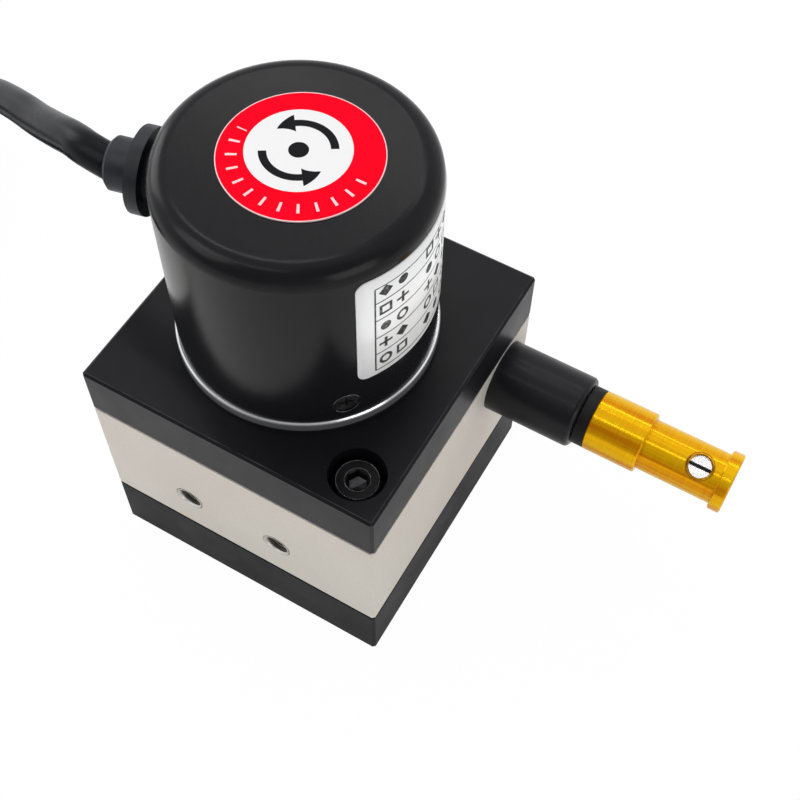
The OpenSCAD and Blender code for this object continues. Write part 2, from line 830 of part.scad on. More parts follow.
module optical_head() {
    bottom = disc_z - head_slot_gap - head_bottom;
    color([0.07, 0.07, 0.08]) at_axis() difference() {
        translate([-head_w / 2, head_inner_y, bottom])
            cube([head_w, head_outer_y - head_inner_y, board_z - bottom]);
        translate([-head_w, head_inner_y - cut_extra, disc_z - head_slot_gap])
            cube([
                2 * head_w,
                disc_r + clear_gap - head_inner_y + cut_extra,
                disc_t + 2 * head_slot_gap]);
    }
}

module at_pillars(z) {
    for (angle = pillar_angles) at_axis(z) rotate(angle) translate([pillar_ring_r, 0, 0]) children();
}

module board_pillars() {
    color([0.8, 0.66, 0.35]) at_pillars(flange_top_z) difference() {
        union() {
            cylinder(r = pillar_r, h = pillar_h);
            translate([0, 0, -pillar_stud_len])
                cylinder(r = m2_r - seat_gap, h = pillar_stud_len + pillar_r / 2);
        }
        translate([0, 0, pillar_h]) hole_down(m2_r, pillar_hole_depth);
    }
}

module circuit_board() {
    color([0.05, 0.35, 0.2]) difference() {
        at_axis(board_z) cylinder(r = board_r, h = board_t);
        at_pillars(board_top_z) hole_down(m2_r + seat_gap, board_t + cut_extra);
    }
}

module board_screws() {
    color([0.8, 0.8, 0.82]) at_pillars(board_top_z) {
        cylinder(r = board_screw_head_r, h = board_screw_head_h);
        translate([0, 0, -board_screw_len]) cylinder(r = m2_r - seat_gap, h = board_screw_len);
    }
}

// A box centred on a spot of the board, standing on its top face
module on_board(place, size) {
    at_axis(board_top_z) translate([place[0] - size[0] / 2, place[1] - size[1] / 2, 0]) cube(size);
}

module board_parts() {
    color([0.1, 0.1, 0.11]) {
        on_board([-socket_place, 0], socket_size);
        for (i = [0:len(chip_places) - 1]) on_board(chip_places[i], chip_sizes[i]);
    }
}

// The cap's outline from its axis: outer wall, rounded edge and top
module cap_outline(inset, top) {
    r = cap_r - inset;
    edge = cap_edge_r - inset;
    square([r, top - edge]);
    square([r - edge, top]);
    translate([r - edge, top - edge]) circle(r = edge);
}

module encoder_cap() {
    color([0.17, 0.17, 0.18]) difference() {
        at_axis(cap_z) rotate_extrude() difference() {
            intersection() {
                cap_outline(0, cap_h);
                square([cap_r, cap_h]);
            }
            intersection() {
                cap_outline(cap_wall, cap_h - cap_top_t);
                translate([0, -cut_extra]) square([cap_r, cap_h]);
            }
            translate([0, -cut_extra]) square([cap_r - cap_wall, 2 * cut_extra]);
        }
        out_of_cap(gland_angle, gland_z) cylinder(r = gland_neck_r + seat_gap, h = cap_d);
        at_cap_screws() cylinder(r = m2_r + hole_play, h = cap_r);
        at_cap_screws() translate([0, 0, cap_screw_len - cap_screw_head_h])
            cylinder(r1 = m2_r + hole_play, r2 = cap_screw_head_r + hole_play, h = cap_screw_head_h);
        at_cap_screws() translate([0, 0, cap_screw_len])
            cylinder(r = cap_screw_head_r + hole_play, h = cap_r);
    }
}

// ---------- labels ----------

module round_sticker() {
    color([0.93, 0.05, 0.15]) at_axis(cap_top_z)
        translate([sticker_place[0], sticker_place[1], 0]) cylinder(r = sticker_d / 2, h = sticker_t);
}

module side_label() {
    color([0.93, 0.93, 0.92]) at_axis(cap_z + label_rise) rotate(label_start)
        rotate_extrude(angle = label_arc) translate([cap_r, 0]) square([label_t, label_h]);
}

// ---------- cable ----------

module cable_gland() {
    nut_in = gland_nut_out - gland_nut_t;
    color([0.1, 0.1, 0.11]) out_of_cap(gland_angle, gland_z) difference() {
        union() {
            translate([0, 0, nut_in])
                cylinder(r = gland_neck_r, h = gland_flange_in - nut_in + gland_flange_t / 2);
            translate([0, 0, gland_flange_in])
                cylinder(r = gland_flange_r, h = gland_flange_out - gland_flange_in);
            translate([0, 0, gland_flange_in])
                cylinder(r = gland_boss_r, h = gland_end - gland_flange_in - gland_boss_edge);
            translate([0, 0, gland_end - gland_boss_edge])
                cylinder(r1 = gland_boss_r, r2 = gland_boss_r - gland_boss_edge, h = gland_boss_edge);
        }
        translate([0, 0, nut_in - cut_extra])
            cylinder(r = cable_r + seat_gap, h = gland_end - nut_in + 2 * cut_extra);
    }
}

module gland_nut() {
    color([0.14, 0.14, 0.15]) out_of_cap(gland_angle, gland_z)
        translate([0, 0, gland_nut_out - gland_nut_t]) difference() {
            hexagon(gland_nut_flats, gland_nut_t);
            translate([0, 0, -cut_extra])
                cylinder(r = gland_neck_r + seat_gap, h = gland_nut_t + 2 * cut_extra);
        }
}

module cable_inner_end() {
    color([0.1, 0.1, 0.11]) out_of_cap(gland_angle, gland_z)
        translate([0, 0, inner_end_place]) cylinder(r = cable_r, h = gland_end - inner_end_place);
}

// Four leads from the stripped cable end down to the board's socket
module inner_leads() {
    color([0.75, 0.2, 0.15])
        for (row = inner_lead_rows)
            at_axis() rotate(gland_angle) translate([socket_place, row, 0]) {
                translate([0, 0, inner_end_bottom_z])
                    cylinder(r = inner_lead_r, h = gland_z - inner_end_bottom_z);
                translate([0, 0, gland_z]) rotate([0, 90, 0])
                    cylinder(r = inner_lead_r, h = inner_end_place - socket_place);
                translate([0, 0, gland_z]) sphere(r = inner_lead_r);
            }
}

function unit(v) = v / norm(v);

// Direction of a route at one of its points, between its neighbours
function route_way(route, i) =
    unit(route[min(i + 1, len(route) - 1)] - route[max(i - 1, 0)]);

// A ring of points round a place, square to a way that is never upright
function tube_ring(place, way, r, sides) =
    let (across = unit(cross(way, [0, 0, 1])), over = cross(across, way))
    [for (k = [0:sides - 1])
        place + r * (cos(360 * k / sides) * across + sin(360 * k / sides) * over)];

// A tube swept along a route; its ends face the given ways
module tube(route, r, sides, start_way, end_way) {
    last = len(route) - 1;
    rings = [for (i = [0:last])
        tube_ring(route[i], i == 0 ? start_way : i == last ? end_way : route_way(route, i), r, sides)];
    walls = [for (i = [0:last - 1], k = [0:sides - 1])
        let (a = i * sides, n = (k + 1) % sides)
        [a + k, a + sides + k, a + sides + n, a + n]];
    start_cap = [for (k = [0:sides - 1]) k];
    end_cap = [for (k = [sides - 1:-1:0]) last * sides + k];
    polyhedron(points = [for (one = rings, p = one) p], faces = concat(walls, [start_cap, end_cap]));
}

module cable() {
    color([0.12, 0.12, 0.13]) tube(cable_route, cable_r, cable_sides, gland_way, coil_way);
}

// The coil's outer shape: the turns lie inside it
module cable_coil() {
    middle_r = (coil_solid_outer_r + coil_solid_inner_r) / 2;
    flat_w = coil_solid_outer_r - coil_solid_inner_r - 2 * coil_edge_r;
    color([0.12, 0.12, 0.13]) translate([coil_center[0], coil_center[1], tie_t]) rotate_extrude() {
        translate([middle_r - flat_w / 2, 0]) square([flat_w, coil_h]);
        translate([coil_solid_inner_r, coil_edge_r])
            square([coil_solid_outer_r - coil_solid_inner_r, coil_h - 2 * coil_edge_r]);
        for (side = [-1, 1], z = [coil_edge_r, coil_h - coil_edge_r])
            translate([middle_r + side * flat_w / 2, z]) circle(r = coil_edge_r);
    }
}

module coil_tie() {
    middle_r = (coil_solid_outer_r + coil_solid_inner_r) / 2;
    gap_w = coil_solid_outer_r - coil_solid_inner_r + tie_t;
    color([0.08, 0.08, 0.09]) translate([coil_center[0], coil_center[1], 0]) rotate(tie_angle)
        translate([middle_r, 0, coil_h / 2 + tie_t]) difference() {
            cube([gap_w + 2 * tie_t, tie_w, coil_h + 2 * tie_t], center = true);
            cube([gap_w, tie_w + cut_extra, coil_h], center = true);
        }
}

module cable_tail() {
    color([0.12, 0.12, 0.13]) tube(tail_route, cable_r, cable_sides, tail_start_way, tail_way);
}

module lead_sleeve() {
    color([0.05, 0.05, 0.05]) translate([tail_end[0], tail_end[1], tail_end[2]]) rotate([0, 90, 0])
        cylinder(r = cable_r, h = sleeve_len);
}

// Cores that fan out of the cable's end, each with a bared tip
module flying_leads() {
    color([0.7, 0.3, 0.2])
        for (i = [0:lead_count - 1])
            let (place = i - (lead_count - 1) / 2)
                translate([
                    tail_end[0] + sleeve_len + lead_start_gap,
                    tail_end[1] + place * lead_pitch,
                    lead_start_z])
                    rotate([0, 90 + lead_drop, place * lead_fan]) {
                        cylinder(r = lead_r, h = lead_len);
                        translate([0, 0, lead_len]) cylinder(r = bared_r, h = bared_len);
                    }
}

base_plate();
power_spring();
spring_cover();
spring_arbor();
drum_housing();
bearing_outer_rings();
bearing_balls();
bearing_inner_rings();
main_shaft();
retaining_ring();
wire_drum();
drum_set_screw();
wound_wire();
drum_spacer();
cover_plate();
housing_screws();
base_screws();
wire_outlet();
wiper_felt();
wire_guide();
draw_wire();
buffer_ring();
wire_end_fitting();
wire_ferrule();
clamp_screw();
encoder_flange();
flange_screws();
cap_seal();
disc_hub();
code_disc();
optical_head();
board_pillars();
circuit_board();
board_screws();
board_parts();
encoder_cap();
cap_screws();
round_sticker();
side_label();
cable_gland();
gland_nut();
cable_inner_end();
inner_leads();
cable();
cable_coil();
coil_tie();
cable_tail();
lead_sleeve();
flying_leads();
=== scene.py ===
import bpy
import math
from mathutils import Matrix, Vector


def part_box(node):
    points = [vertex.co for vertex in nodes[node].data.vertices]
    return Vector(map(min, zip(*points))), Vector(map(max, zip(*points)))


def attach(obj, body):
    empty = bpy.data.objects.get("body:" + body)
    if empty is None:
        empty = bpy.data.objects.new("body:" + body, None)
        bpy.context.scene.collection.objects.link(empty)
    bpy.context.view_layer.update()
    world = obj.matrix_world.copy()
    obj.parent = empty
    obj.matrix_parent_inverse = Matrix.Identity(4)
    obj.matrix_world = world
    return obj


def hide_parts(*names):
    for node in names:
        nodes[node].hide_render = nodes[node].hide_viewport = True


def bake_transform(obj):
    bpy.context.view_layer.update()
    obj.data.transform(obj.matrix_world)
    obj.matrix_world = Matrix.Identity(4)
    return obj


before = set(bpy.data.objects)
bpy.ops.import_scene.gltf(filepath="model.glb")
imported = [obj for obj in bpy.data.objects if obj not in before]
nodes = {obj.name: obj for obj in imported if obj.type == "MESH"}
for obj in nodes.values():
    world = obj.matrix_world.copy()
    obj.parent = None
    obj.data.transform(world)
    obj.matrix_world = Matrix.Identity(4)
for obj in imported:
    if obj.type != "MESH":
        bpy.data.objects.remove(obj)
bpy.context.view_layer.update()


MM = 0.001

# ---------------------------------------------------------------- places

outlet_low, outlet_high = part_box("wire_outlet")
cap_low, cap_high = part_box("encoder_cap")
housing_low, housing_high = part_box("drum_housing")
sticker_low, sticker_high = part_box("round_sticker")
label_low, label_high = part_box("side_label")
fitting_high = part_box("wire_end_fitting")[1]
cover_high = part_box("cover_plate")[1]

AXIS_X = (cap_low.x + cap_high.x) / 2
CAP_R = (cap_high.x - cap_low.x) / 2
WIRE_Y = (outlet_low.y + outlet_high.y) / 2
WIRE_Z = (outlet_low.z + outlet_high.z) / 2
UP = Vector((0, 0, 1))
ALONG_X = Vector((1, 0, 0))
HOLE_SIDE = 8.25 * MM  # from the encoder's axis to each side hole
HOLE_RISE = 8.5 * MM  # from the bare layer's foot to the side holes
LABEL_START = math.radians(-36)
LABEL_ARC = math.radians(130)
CAP_SCREW_ANGLE = math.radians(-41)
CAP_SCREW_RISE = 3.5 * MM
CORNER_SCREW_R = 3.5 * MM  # the head of a corner screw
CLAMP_LEAN = math.radians(26)  # the clamp screw leans this far from upright, towards the front
NECK_R = 4.2 * MM

# ---------------------------------------------------------------- camera


CAMERA_AZIMUTH, CAMERA_ELEVATION, CAMERA_ROLL = 0.50846, 1.01247, 0.01795
CAMERA_PLACE = Vector((67.12056, -93.3895, 207.05274)) * MM
SENSOR_MM = 36
LENS_MM = 58.74165


def make_camera():
    """The camera that was fitted to the housing's corners in the photograph."""
    az, el = CAMERA_AZIMUTH, CAMERA_ELEVATION
    back = Vector((math.sin(az) * math.cos(el), -math.cos(az) * math.cos(el), math.sin(el)))
    right = UP.cross(back).normalized()
    up = back.cross(right)
    c, s = math.cos(CAMERA_ROLL), math.sin(CAMERA_ROLL)
    right, up = c * right + s * up, c * up - s * right
    data = bpy.data.cameras.new("camera")
    data.sensor_width = SENSOR_MM
    data.sensor_fit = "HORIZONTAL"
    data.lens = LENS_MM
    data.clip_start = 0.005
    data.clip_end = 20
    cam = bpy.data.objects.new("camera", data)
    bpy.context.scene.collection.objects.link(cam)
    turn = Matrix((right, up, back)).transposed()
    cam.matrix_world = Matrix.Translation(CAMERA_PLACE) @ turn.to_4x4()
    bpy.context.scene.camera = cam


make_camera()
bpy.context.scene.view_settings.view_transform = "Standard"

# ---------------------------------------------------------------- mesh helpers


def mesh_object(name, verts, faces, smooth=True):
    """A new object in the scene from vertices and faces."""
    mesh = bpy.data.meshes.new(name)
    mesh.from_pydata([tuple(v) for v in verts], [], faces)
    mesh.validate()
    mesh.update()
    for p in mesh.polygons:
        p.use_smooth = smooth
    obj = bpy.data.objects.new(name, mesh)
    bpy.context.scene.collection.objects.link(obj)
    return obj


def square_to(way):
    """A direction square to the given one, level where that can be."""
    across = way.cross(UP)
    if across.length < 1e-4:
        across = way.cross(Vector((0, 1, 0)))
    return across.normalized()


def catmull(points, per_span):
    """Points on a smooth curve through the given ones."""
    pts = [Vector(p) for p in points]
    pts = [pts[0] * 2 - pts[1]] + pts + [pts[-1] * 2 - pts[-2]]
    out = []
    for i in range(1, len(pts) - 2):
        a, b, c, d = pts[i - 1:i + 3]
        for k in range(per_span):
            t = k / per_span
            out.append(0.5 * (2 * b + (c - a) * t + (2 * a - 5 * b + 4 * c - d) * t * t
                              + (3 * b - a - 3 * c + d) * t ** 3))
    out.append(pts[-2])
    return out


def tube(name, path, radius, sides=20):
    """A round tube along a path, with frames that don't twist."""
    n = len(path)
    ways = []
    for i in range(n):
        ways.append((path[min(i + 1, n - 1)] - path[max(i - 1, 0)]).normalized())
    across = square_to(ways[0])
    verts, faces = [], []
    for i in range(n):
        across = (across - ways[i] * across.dot(ways[i])).normalized()
        over = ways[i].cross(across)
        for k in range(sides):
            a = 2 * math.pi * k / sides
            verts.append(path[i] + radius * (math.cos(a) * across + math.sin(a) * over))
    for i in range(n - 1):
        for k in range(sides):
            m = (k + 1) % sides
            faces.append((i * sides + k, i * sides + m, (i + 1) * sides + m, (i + 1) * sides + k))
    faces.append(tuple(range(sides))[::-1])
    faces.append(tuple((n - 1) * sides + k for k in range(sides)))
    return mesh_object(name, verts, faces)


def turned_piece(name, profile, place, way, sides=64, closed=False, smooth=True):
    """A body of revolution: profile is (distance along, radius) pairs, way the axis."""
    way = Vector(way).normalized()
    across = square_to(way)
    over = way.cross(across)
    verts, faces = [], []
    for t, r in profile:
        for k in range(sides):
            a = 2 * math.pi * k / sides
            verts.append(Vector(place) + way * t + r * (math.cos(a) * across + math.sin(a) * over))
    rows = len(profile)
    for i in range(rows if closed else rows - 1):
        j = (i + 1) % rows
        for k in range(sides):
            m = (k + 1) % sides
            faces.append((i * sides + k, i * sides + m, j * sides + m, j * sides + k))
    return mesh_object(name, verts, faces, smooth)


def helix(name, place, way, radius, pitch, turns, depth, sides=40):
    """A thread's ridge: a three-sided profile that runs round a hole's wall."""
    foot = 0.42 * pitch
    fade = 6  # steps over which the ridge rises at each end
    way = Vector(way).normalized()
    across = square_to(way)
    over = way.cross(across)
    verts, faces = [], []
    n = int(turns * sides)
    for i in range(n + 1):
        a = 2 * math.pi * i / sides
        out = math.cos(a) * across + math.sin(a) * over
        t = pitch * i / sides
        c = Vector(place) + way * t
        grow = min(1, i / fade, (n - i) / fade)
        verts.append(c + out * radius - way * foot)
        verts.append(c + out * (radius - depth * grow))
        verts.append(c + out * radius + way * foot)
    for i in range(n):
        a = i * 3
        faces.append((a, a + 3, a + 4, a + 1))
        faces.append((a + 1, a + 4, a + 5, a + 2))
        faces.append((a + 2, a + 5, a + 3, a))
    faces.append((0, 1, 2))
    faces.append((n * 3 + 2, n * 3 + 1, n * 3))
    return mesh_object(name, verts, faces, smooth=False)


# ---------------------------------------------------------------- the cable

CABLE_R = 2.6 * MM
GLAND_ANGLE = math.radians(193.5)
GLAND_WAY = Vector((math.cos(GLAND_ANGLE), math.sin(GLAND_ANGLE), 0))
GLAND_END = Vector((-1 * MM, 0, 72 * MM)) + GLAND_WAY * 27 * MM
# The route on the way to the coil, in mm.
CABLE_POINTS = [
    (-31.9, -6, 71.9), (-35.7, -4.5, 70.3), (-41.5, -2.2, 67), (-47.9, 0.6, 63.2),
    (-55, 3.7, 59.5), (-62.7, 6.9, 55.1), (-70, 10.4, 49.3), (-76.5, 14, 42), (-83, 18, 33),
    (-89.5, 21.6, 23.8), (-96, 24.5, 15.5),
    (-104, 27, 9), (-113, 28.3, 4.9), (-122, 28.5, 3.4)]
COIL_MIDDLE = (-122, -6)
COIL_R = (34.5, 29, 23.5)  # of the lower layer's three turns
COIL_TOP_R = 28.5  # of the last turn, which lies on them
COIL_LOW, COIL_HIGH = 3.4, 8.9
COIL_START, COIL_END = 96, 1675
COIL_STEP = 6
COIL_SHIFT = 30  # degrees in which the cable moves over to its next turn
TAIL_POINTS = [
    (-131, -33.8, 9.2), (-123, -37.4, 9.3), (-115, -39.8, 9.1), (-107, -41.2, 7.8),
    (-100, -41.7, 5.3), (-94, -41.6, 3.4), (-88, -41.4, 2.6)]


def ease(x):
    """A smooth step from 0 to 1."""
    x = min(1, max(0, x))
    return x * x * (3 - 2 * x)


def coil_point(angle):
    """Where the cable is when it has gone round to this angle, in degrees up to COIL_END."""
    def shift(start):
        return ease((angle - start) / COIL_SHIFT)

    r = COIL_R[0] + (COIL_R[1] - COIL_R[0]) * shift(410) + (COIL_R[2] - COIL_R[1]) * shift(770)
    r += (COIL_TOP_R - COIL_R[2]) * shift(1490)
    z = COIL_LOW + (COIL_HIGH - COIL_LOW) * shift(1100)
    a = math.radians(angle)
    return Vector((COIL_MIDDLE[0] + r * math.cos(a), COIL_MIDDLE[1] + r * math.sin(a), z)) * MM


def make_cable():
    """The cable in one piece: from the gland, down to the floor, round the coil and out as a tail."""
    way_out = [GLAND_END, GLAND_END + GLAND_WAY * 0.6 * MM] + [Vector(p) * MM for p in CABLE_POINTS]
    path = catmull(way_out, 6)
    path += [coil_point(a) for a in range(COIL_START, COIL_END, COIL_STEP)]
    path += catmull([coil_point(COIL_END)] + [Vector(p) * MM for p in TAIL_POINTS], 6)
    cable = tube("encoder_cable", path, CABLE_R, 20)
    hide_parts("cable", "cable_coil", "cable_tail")
    return cable, path


cable, cable_path = make_cable()


def make_tie():
    """A strap round the coil's turns, drawn tight over them."""
    a = math.radians(200)
    out = Vector((math.cos(a), math.sin(a), 0))
    side = Vector((-math.sin(a), math.cos(a), 0))
    low, high = COIL_LOW, COIL_HIGH
    centres = [(COIL_R[0], low), (COIL_R[2], low), (COIL_R[2], high), (COIL_TOP_R, high)]
    r = 2.63
    half_width, thickness = 4, 0.72
    floor_gap = 0.04
    loop = []
    steps = 72
    for k in range(steps):
        t = 2 * math.pi * k / steps
        d = (math.cos(t), math.sin(t))
        best = max(centres, key=lambda c: c[0] * d[0] + c[1] * d[1])
        loop.append((best[0] + r * d[0], best[1] + r * d[1], d))
    verts, faces = [], []
    for x, z, d in loop:
        for thick, across in ((0, -half_width), (0, half_width), (thickness, half_width), (thickness, -half_width)):
            px, pz = x + d[0] * thick, max(floor_gap, z + d[1] * thick)
            verts.append(Vector((COIL_MIDDLE[0] * MM, COIL_MIDDLE[1] * MM, pz * MM))
                         + out * px * MM + side * across * MM)
    n = len(loop)
    for i in range(n):
        j = (i + 1) % n
        for k in range(4):
            m = (k + 1) % 4
            faces.append((i * 4 + k, i * 4 + m, j * 4 + m, j * 4 + k))
    strap = mesh_object("cable_strap", verts, faces, smooth=False)
    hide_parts("coil_tie")
    return strap


strap = make_tie()

LEAD_COLOURS = ["brown", "white", "green", "yellow", "grey"]
LEAD_LENGTH = 20.2
LEAD_SPACING = 1.02
LEAD_FAN = 3  # degrees between neighbours


def make_leads():
    """Five thin cores that fan out of the sleeve and lie on the floor."""
    low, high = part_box("lead_sleeve")
    start_x, start_y = high.x, (low.y + high.y) / 2
    floor_z, drop = 0.47, 0.95
    pieces = []
    for place, colour in enumerate(LEAD_COLOURS, -2):
        fan = math.radians(LEAD_FAN * place)
        points = []
        for k in range(9):
            d = LEAD_LENGTH * k / 8
            z = floor_z + drop * (1 - ease(d / 20))
            points.append(Vector((start_x + (0.1 + d * math.cos(fan)) * MM,
                                  start_y + (place * LEAD_SPACING + d * math.sin(fan)) * MM, z * MM)))
        lead = tube("lead_" + colour, catmull(points, 3), 0.45 * MM, 12)
        tip_points = [points[-1] + Vector((math.cos(fan), math.sin(fan), 0)) * d * MM
                      for d in (-0.6, 0.5, 1.5, 2.5, 3.5, 4.6)]
        tip = tube("lead_tip_" + colour, tip_points, 0.28 * MM, 10)
        pieces += [(lead, colour), (tip, "tinned")]
    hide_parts("flying_leads")
    return pieces


leads = make_leads()

# ---------------------------------------------------------------- materials


class Nodes:
    """Short ways to build a material's nodes."""

    def __init__(self, name):
        self.mat = bpy.data.materials.new(name)
        self.mat.use_nodes = True
        self.tree = self.mat.node_tree
        self.tree.nodes.clear()
        self.out = self.new("ShaderNodeOutputMaterial")
        self.bsdf = self.new("ShaderNodeBsdfPrincipled")
        self.link(self.bsdf.outputs["BSDF"], self.out.inputs["Surface"])
        self.place = self.new("ShaderNodeTexCoord").outputs["Object"]

    def new(self, kind, **values):
        node = self.tree.nodes.new(kind)
        for key, value in values.items():
            setattr(node, key, value)
        return node

    def link(self, a, b):
        self.tree.links.new(a, b)

    def put(self, socket, value):
        """Give a socket a number, a colour or another node's output."""
        if isinstance(value, (int, float)):
            socket.default_value = value
        elif isinstance(value, tuple):
            socket.default_value = value + (1,)
        else:
            self.link(value, socket)

    def math(self, op, a, b=0.0, c=None):
        node = self.new("ShaderNodeMath", operation=op)
        self.put(node.inputs[0], a)
        self.put(node.inputs[1], b)
        if c is not None:
            self.put(node.inputs[2], c)
        return node.outputs[0]

    def inside(self, value, middle, half):
        """1 where a value lies within half of the middle, else 0."""
        return self.math("LESS_THAN", self.math("ABSOLUTE", self.math("SUBTRACT", value, middle)), half)

    def between(self, value, low, high):
        return self.math("MULTIPLY", self.math("GREATER_THAN", value, low), self.math("LESS_THAN", value, high))

    def length(self, x, y):
        return self.math("SQRT", self.math("ADD", self.math("MULTIPLY", x, x), self.math("MULTIPLY", y, y)))

    def split(self):
        """The place on the part as x, y and z."""
        node = self.new("ShaderNodeSeparateXYZ")
        self.link(self.place, node.inputs[0])
        return node.outputs

    def stretched(self, scale):
        """The place with each axis scaled, for marks that run one way."""
        node = self.new("ShaderNodeMapping")
        self.link(self.place, node.inputs["Vector"])
        node.inputs["Scale"].default_value = scale
        return node.outputs["Vector"]

    def noise(self, scale, detail=2, rough=0.5, vector=None):
        node = self.new("ShaderNodeTexNoise")
        self.link(vector or self.place, node.inputs["Vector"])
        node.inputs["Scale"].default_value = scale
        node.inputs["Detail"].default_value = detail
        node.inputs["Roughness"].default_value = rough
        return node.outputs["Fac"]

    def voronoi(self, scale):
        node = self.new("ShaderNodeTexVoronoi", feature="F1")
        self.link(self.place, node.inputs["Vector"])
        node.inputs["Scale"].default_value = scale
        return node.outputs["Distance"]

    def ramp(self, fac, stops):
        node = self.new("ShaderNodeValToRGB")
        self.link(fac, node.inputs["Fac"])
        elements = node.color_ramp.elements
        while len(elements) < len(stops):
            elements.new(0.5)
        for element, (pos, colour) in zip(elements, stops):
            element.position = pos
            element.color = tuple(colour) + (1,)
        return node.outputs["Color"]

    def spread(self, fac, low, high, from_low=0.3, from_high=0.7):
        """A value spread over low to high."""
        node = self.new("ShaderNodeMapRange")
        self.link(fac, node.inputs["Value"])
        for key, value in (("From Min", from_low), ("From Max", from_high), ("To Min", low), ("To Max", high)):
            node.inputs[key].default_value = value
        return node.outputs["Result"]

    def mix(self, fac, a, b):
        node = self.new("ShaderNodeMix", data_type="RGBA")
        self.put(node.inputs["Factor"], fac)
        self.put(node.inputs[6], a)
        self.put(node.inputs[7], b)
        return node.outputs[2]

    def bump(self, height, strength, distance, normal=None):
        node = self.new("ShaderNodeBump")
        self.link(height, node.inputs["Height"])
        node.inputs["Strength"].default_value = strength
        node.inputs["Distance"].default_value = distance
        if normal is not None:
            self.link(normal, node.inputs["Normal"])
        return node.outputs["Normal"]

    def set(self, **values):
        names = {"colour": "Base Color", "metal": "Metallic", "rough": "Roughness", "spec": "Specular IOR Level",
                 "sheen": "Sheen Weight", "normal": "Normal", "glass": "Transmission Weight"}
        for key, value in values.items():
            self.put(self.bsdf.inputs[names[key]], value)
        return self.mat


def grained(name, low, high, rough=(0.4, 0.5), metal=0.0, spec=0.5, grain=900, fine=5200,
            bump=0.15, distance=0.00004, patch=60, **more):
    """A surface with a fine grain, soft patches of colour and uneven gloss."""
    n = Nodes(name)
    patches = n.noise(patch, 3, 0.55)
    speck = n.noise(grain, 3, 0.6)
    both = n.math("MULTIPLY_ADD", speck, 0.35, n.math("MULTIPLY", patches, 0.65))
    colour = n.ramp(both, [(0.32, low), (0.68, high)])
    gloss = n.spread(n.noise(patch * 2.3, 4, 0.6), rough[0], rough[1])
    normal = n.bump(n.noise(fine, 2, 0.5), bump, distance)
    return n.set(colour=colour, rough=gloss, metal=metal, spec=spec, normal=normal, **more)


def anodised_black(name, spec):
    """Machined plate, blasted and anodised black, with paler specks of dust and a painted highlight along the cover
    plate's top edge.
    """
    n = Nodes(name)
    patches = n.noise(45, 3, 0.5)
    grain = n.noise(2600, 2, 0.6)
    colour = n.ramp(patches, [(0.3, (0.0040, 0.0040, 0.0050)), (0.7, (0.0062, 0.0062, 0.0078))])
    dust = n.spread(n.voronoi(420), 1, 0, 0.0, 0.045)
    keep = n.spread(n.noise(95, 2), 0, 1, 0.57, 0.63)
    colour = n.mix(n.math("MULTIPLY", n.math("MULTIPLY", dust, keep), 0.5), colour, (0.12, 0.12, 0.12))
    x, y, z = n.split()
    reach = n.math("MAXIMUM", n.math("ABSOLUTE", x), n.math("ABSOLUTE", y))
    # Painted highlight: a thin paler line, in patches, along the cover plate's top edge.
    painted_edge_highlight = n.math("MULTIPLY", n.inside(reach, housing_high.x - 0.42 * MM, 0.06 * MM),
                  n.math("GREATER_THAN", z, cover_high.z - 0.03 * MM))
    painted_edge_highlight = n.math("MULTIPLY", painted_edge_highlight, n.spread(n.noise(240, 3, 0.6), 0.15, 0.9, 0.35, 0.65))
    colour = n.mix(painted_edge_highlight, colour, (0.055, 0.055, 0.058))
    gloss = n.spread(n.noise(130, 4, 0.6), 0.32, 0.42)
    normal = n.bump(grain, 0.12, 0.00003)
    return n.set(colour=colour, rough=gloss, metal=0.0, spec=spec, normal=normal)


def bare_aluminium():
    """Fine-blasted aluminium with a clear anodised skin."""
    n = Nodes("bare_aluminium")
    patches = n.noise(38, 4, 0.55)
    colour = n.ramp(patches, [(0.25, (0.62, 0.566, 0.508)), (0.75, (0.68, 0.624, 0.566))])
    cool = n.ramp(patches, [(0.25, (0.60, 0.574, 0.508)), (0.75, (0.66, 0.632, 0.566))])
    colour = n.mix(n.spread(n.noise(24, 2), 0, 1, 0.38, 0.62), colour, cool)
    speck = n.spread(n.noise(3800, 2, 0.6), 0.90, 1.06)
    tone = n.new("ShaderNodeVectorMath", operation="SCALE")
    n.link(colour, tone.inputs[0])
    n.link(speck, tone.inputs["Scale"])
    gloss = n.spread(n.noise(300, 3, 0.6), 0.50, 0.62)
    normal = n.bump(n.noise(4200, 3, 0.6), 0.3, 0.00004)
    return n.set(colour=tone.outputs[0], rough=gloss, metal=0.35, spec=0.5, normal=normal)


TOOL_LINES = 9000  # scale of the noise across the tool lines


def turned_metal(name, low, high, axis, rough=(0.22, 0.32)):
    """Turned metal: fine tool lines that run round the axis, 0 for X and 2 for Z."""
    n = Nodes(name)
    scale = [12, 12, 12]
    scale[axis] = TOOL_LINES
    marks = n.noise(1, 2, 0.6, n.stretched(scale))
    wide = [4, 4, 4]
    wide[axis] = TOOL_LINES / 6
    bands = n.noise(1, 2, 0.5, n.stretched(wide))
    colour = n.ramp(n.math("MULTIPLY_ADD", marks, 0.5, n.math("MULTIPLY", bands, 0.5)), [(0.3, low), (0.7, high)])
    gloss = n.spread(bands, rough[0], rough[1])
    normal = n.bump(marks, 0.12, 0.00002)
    return n.set(colour=colour, rough=gloss, metal=1.0, spec=0.5, normal=normal)


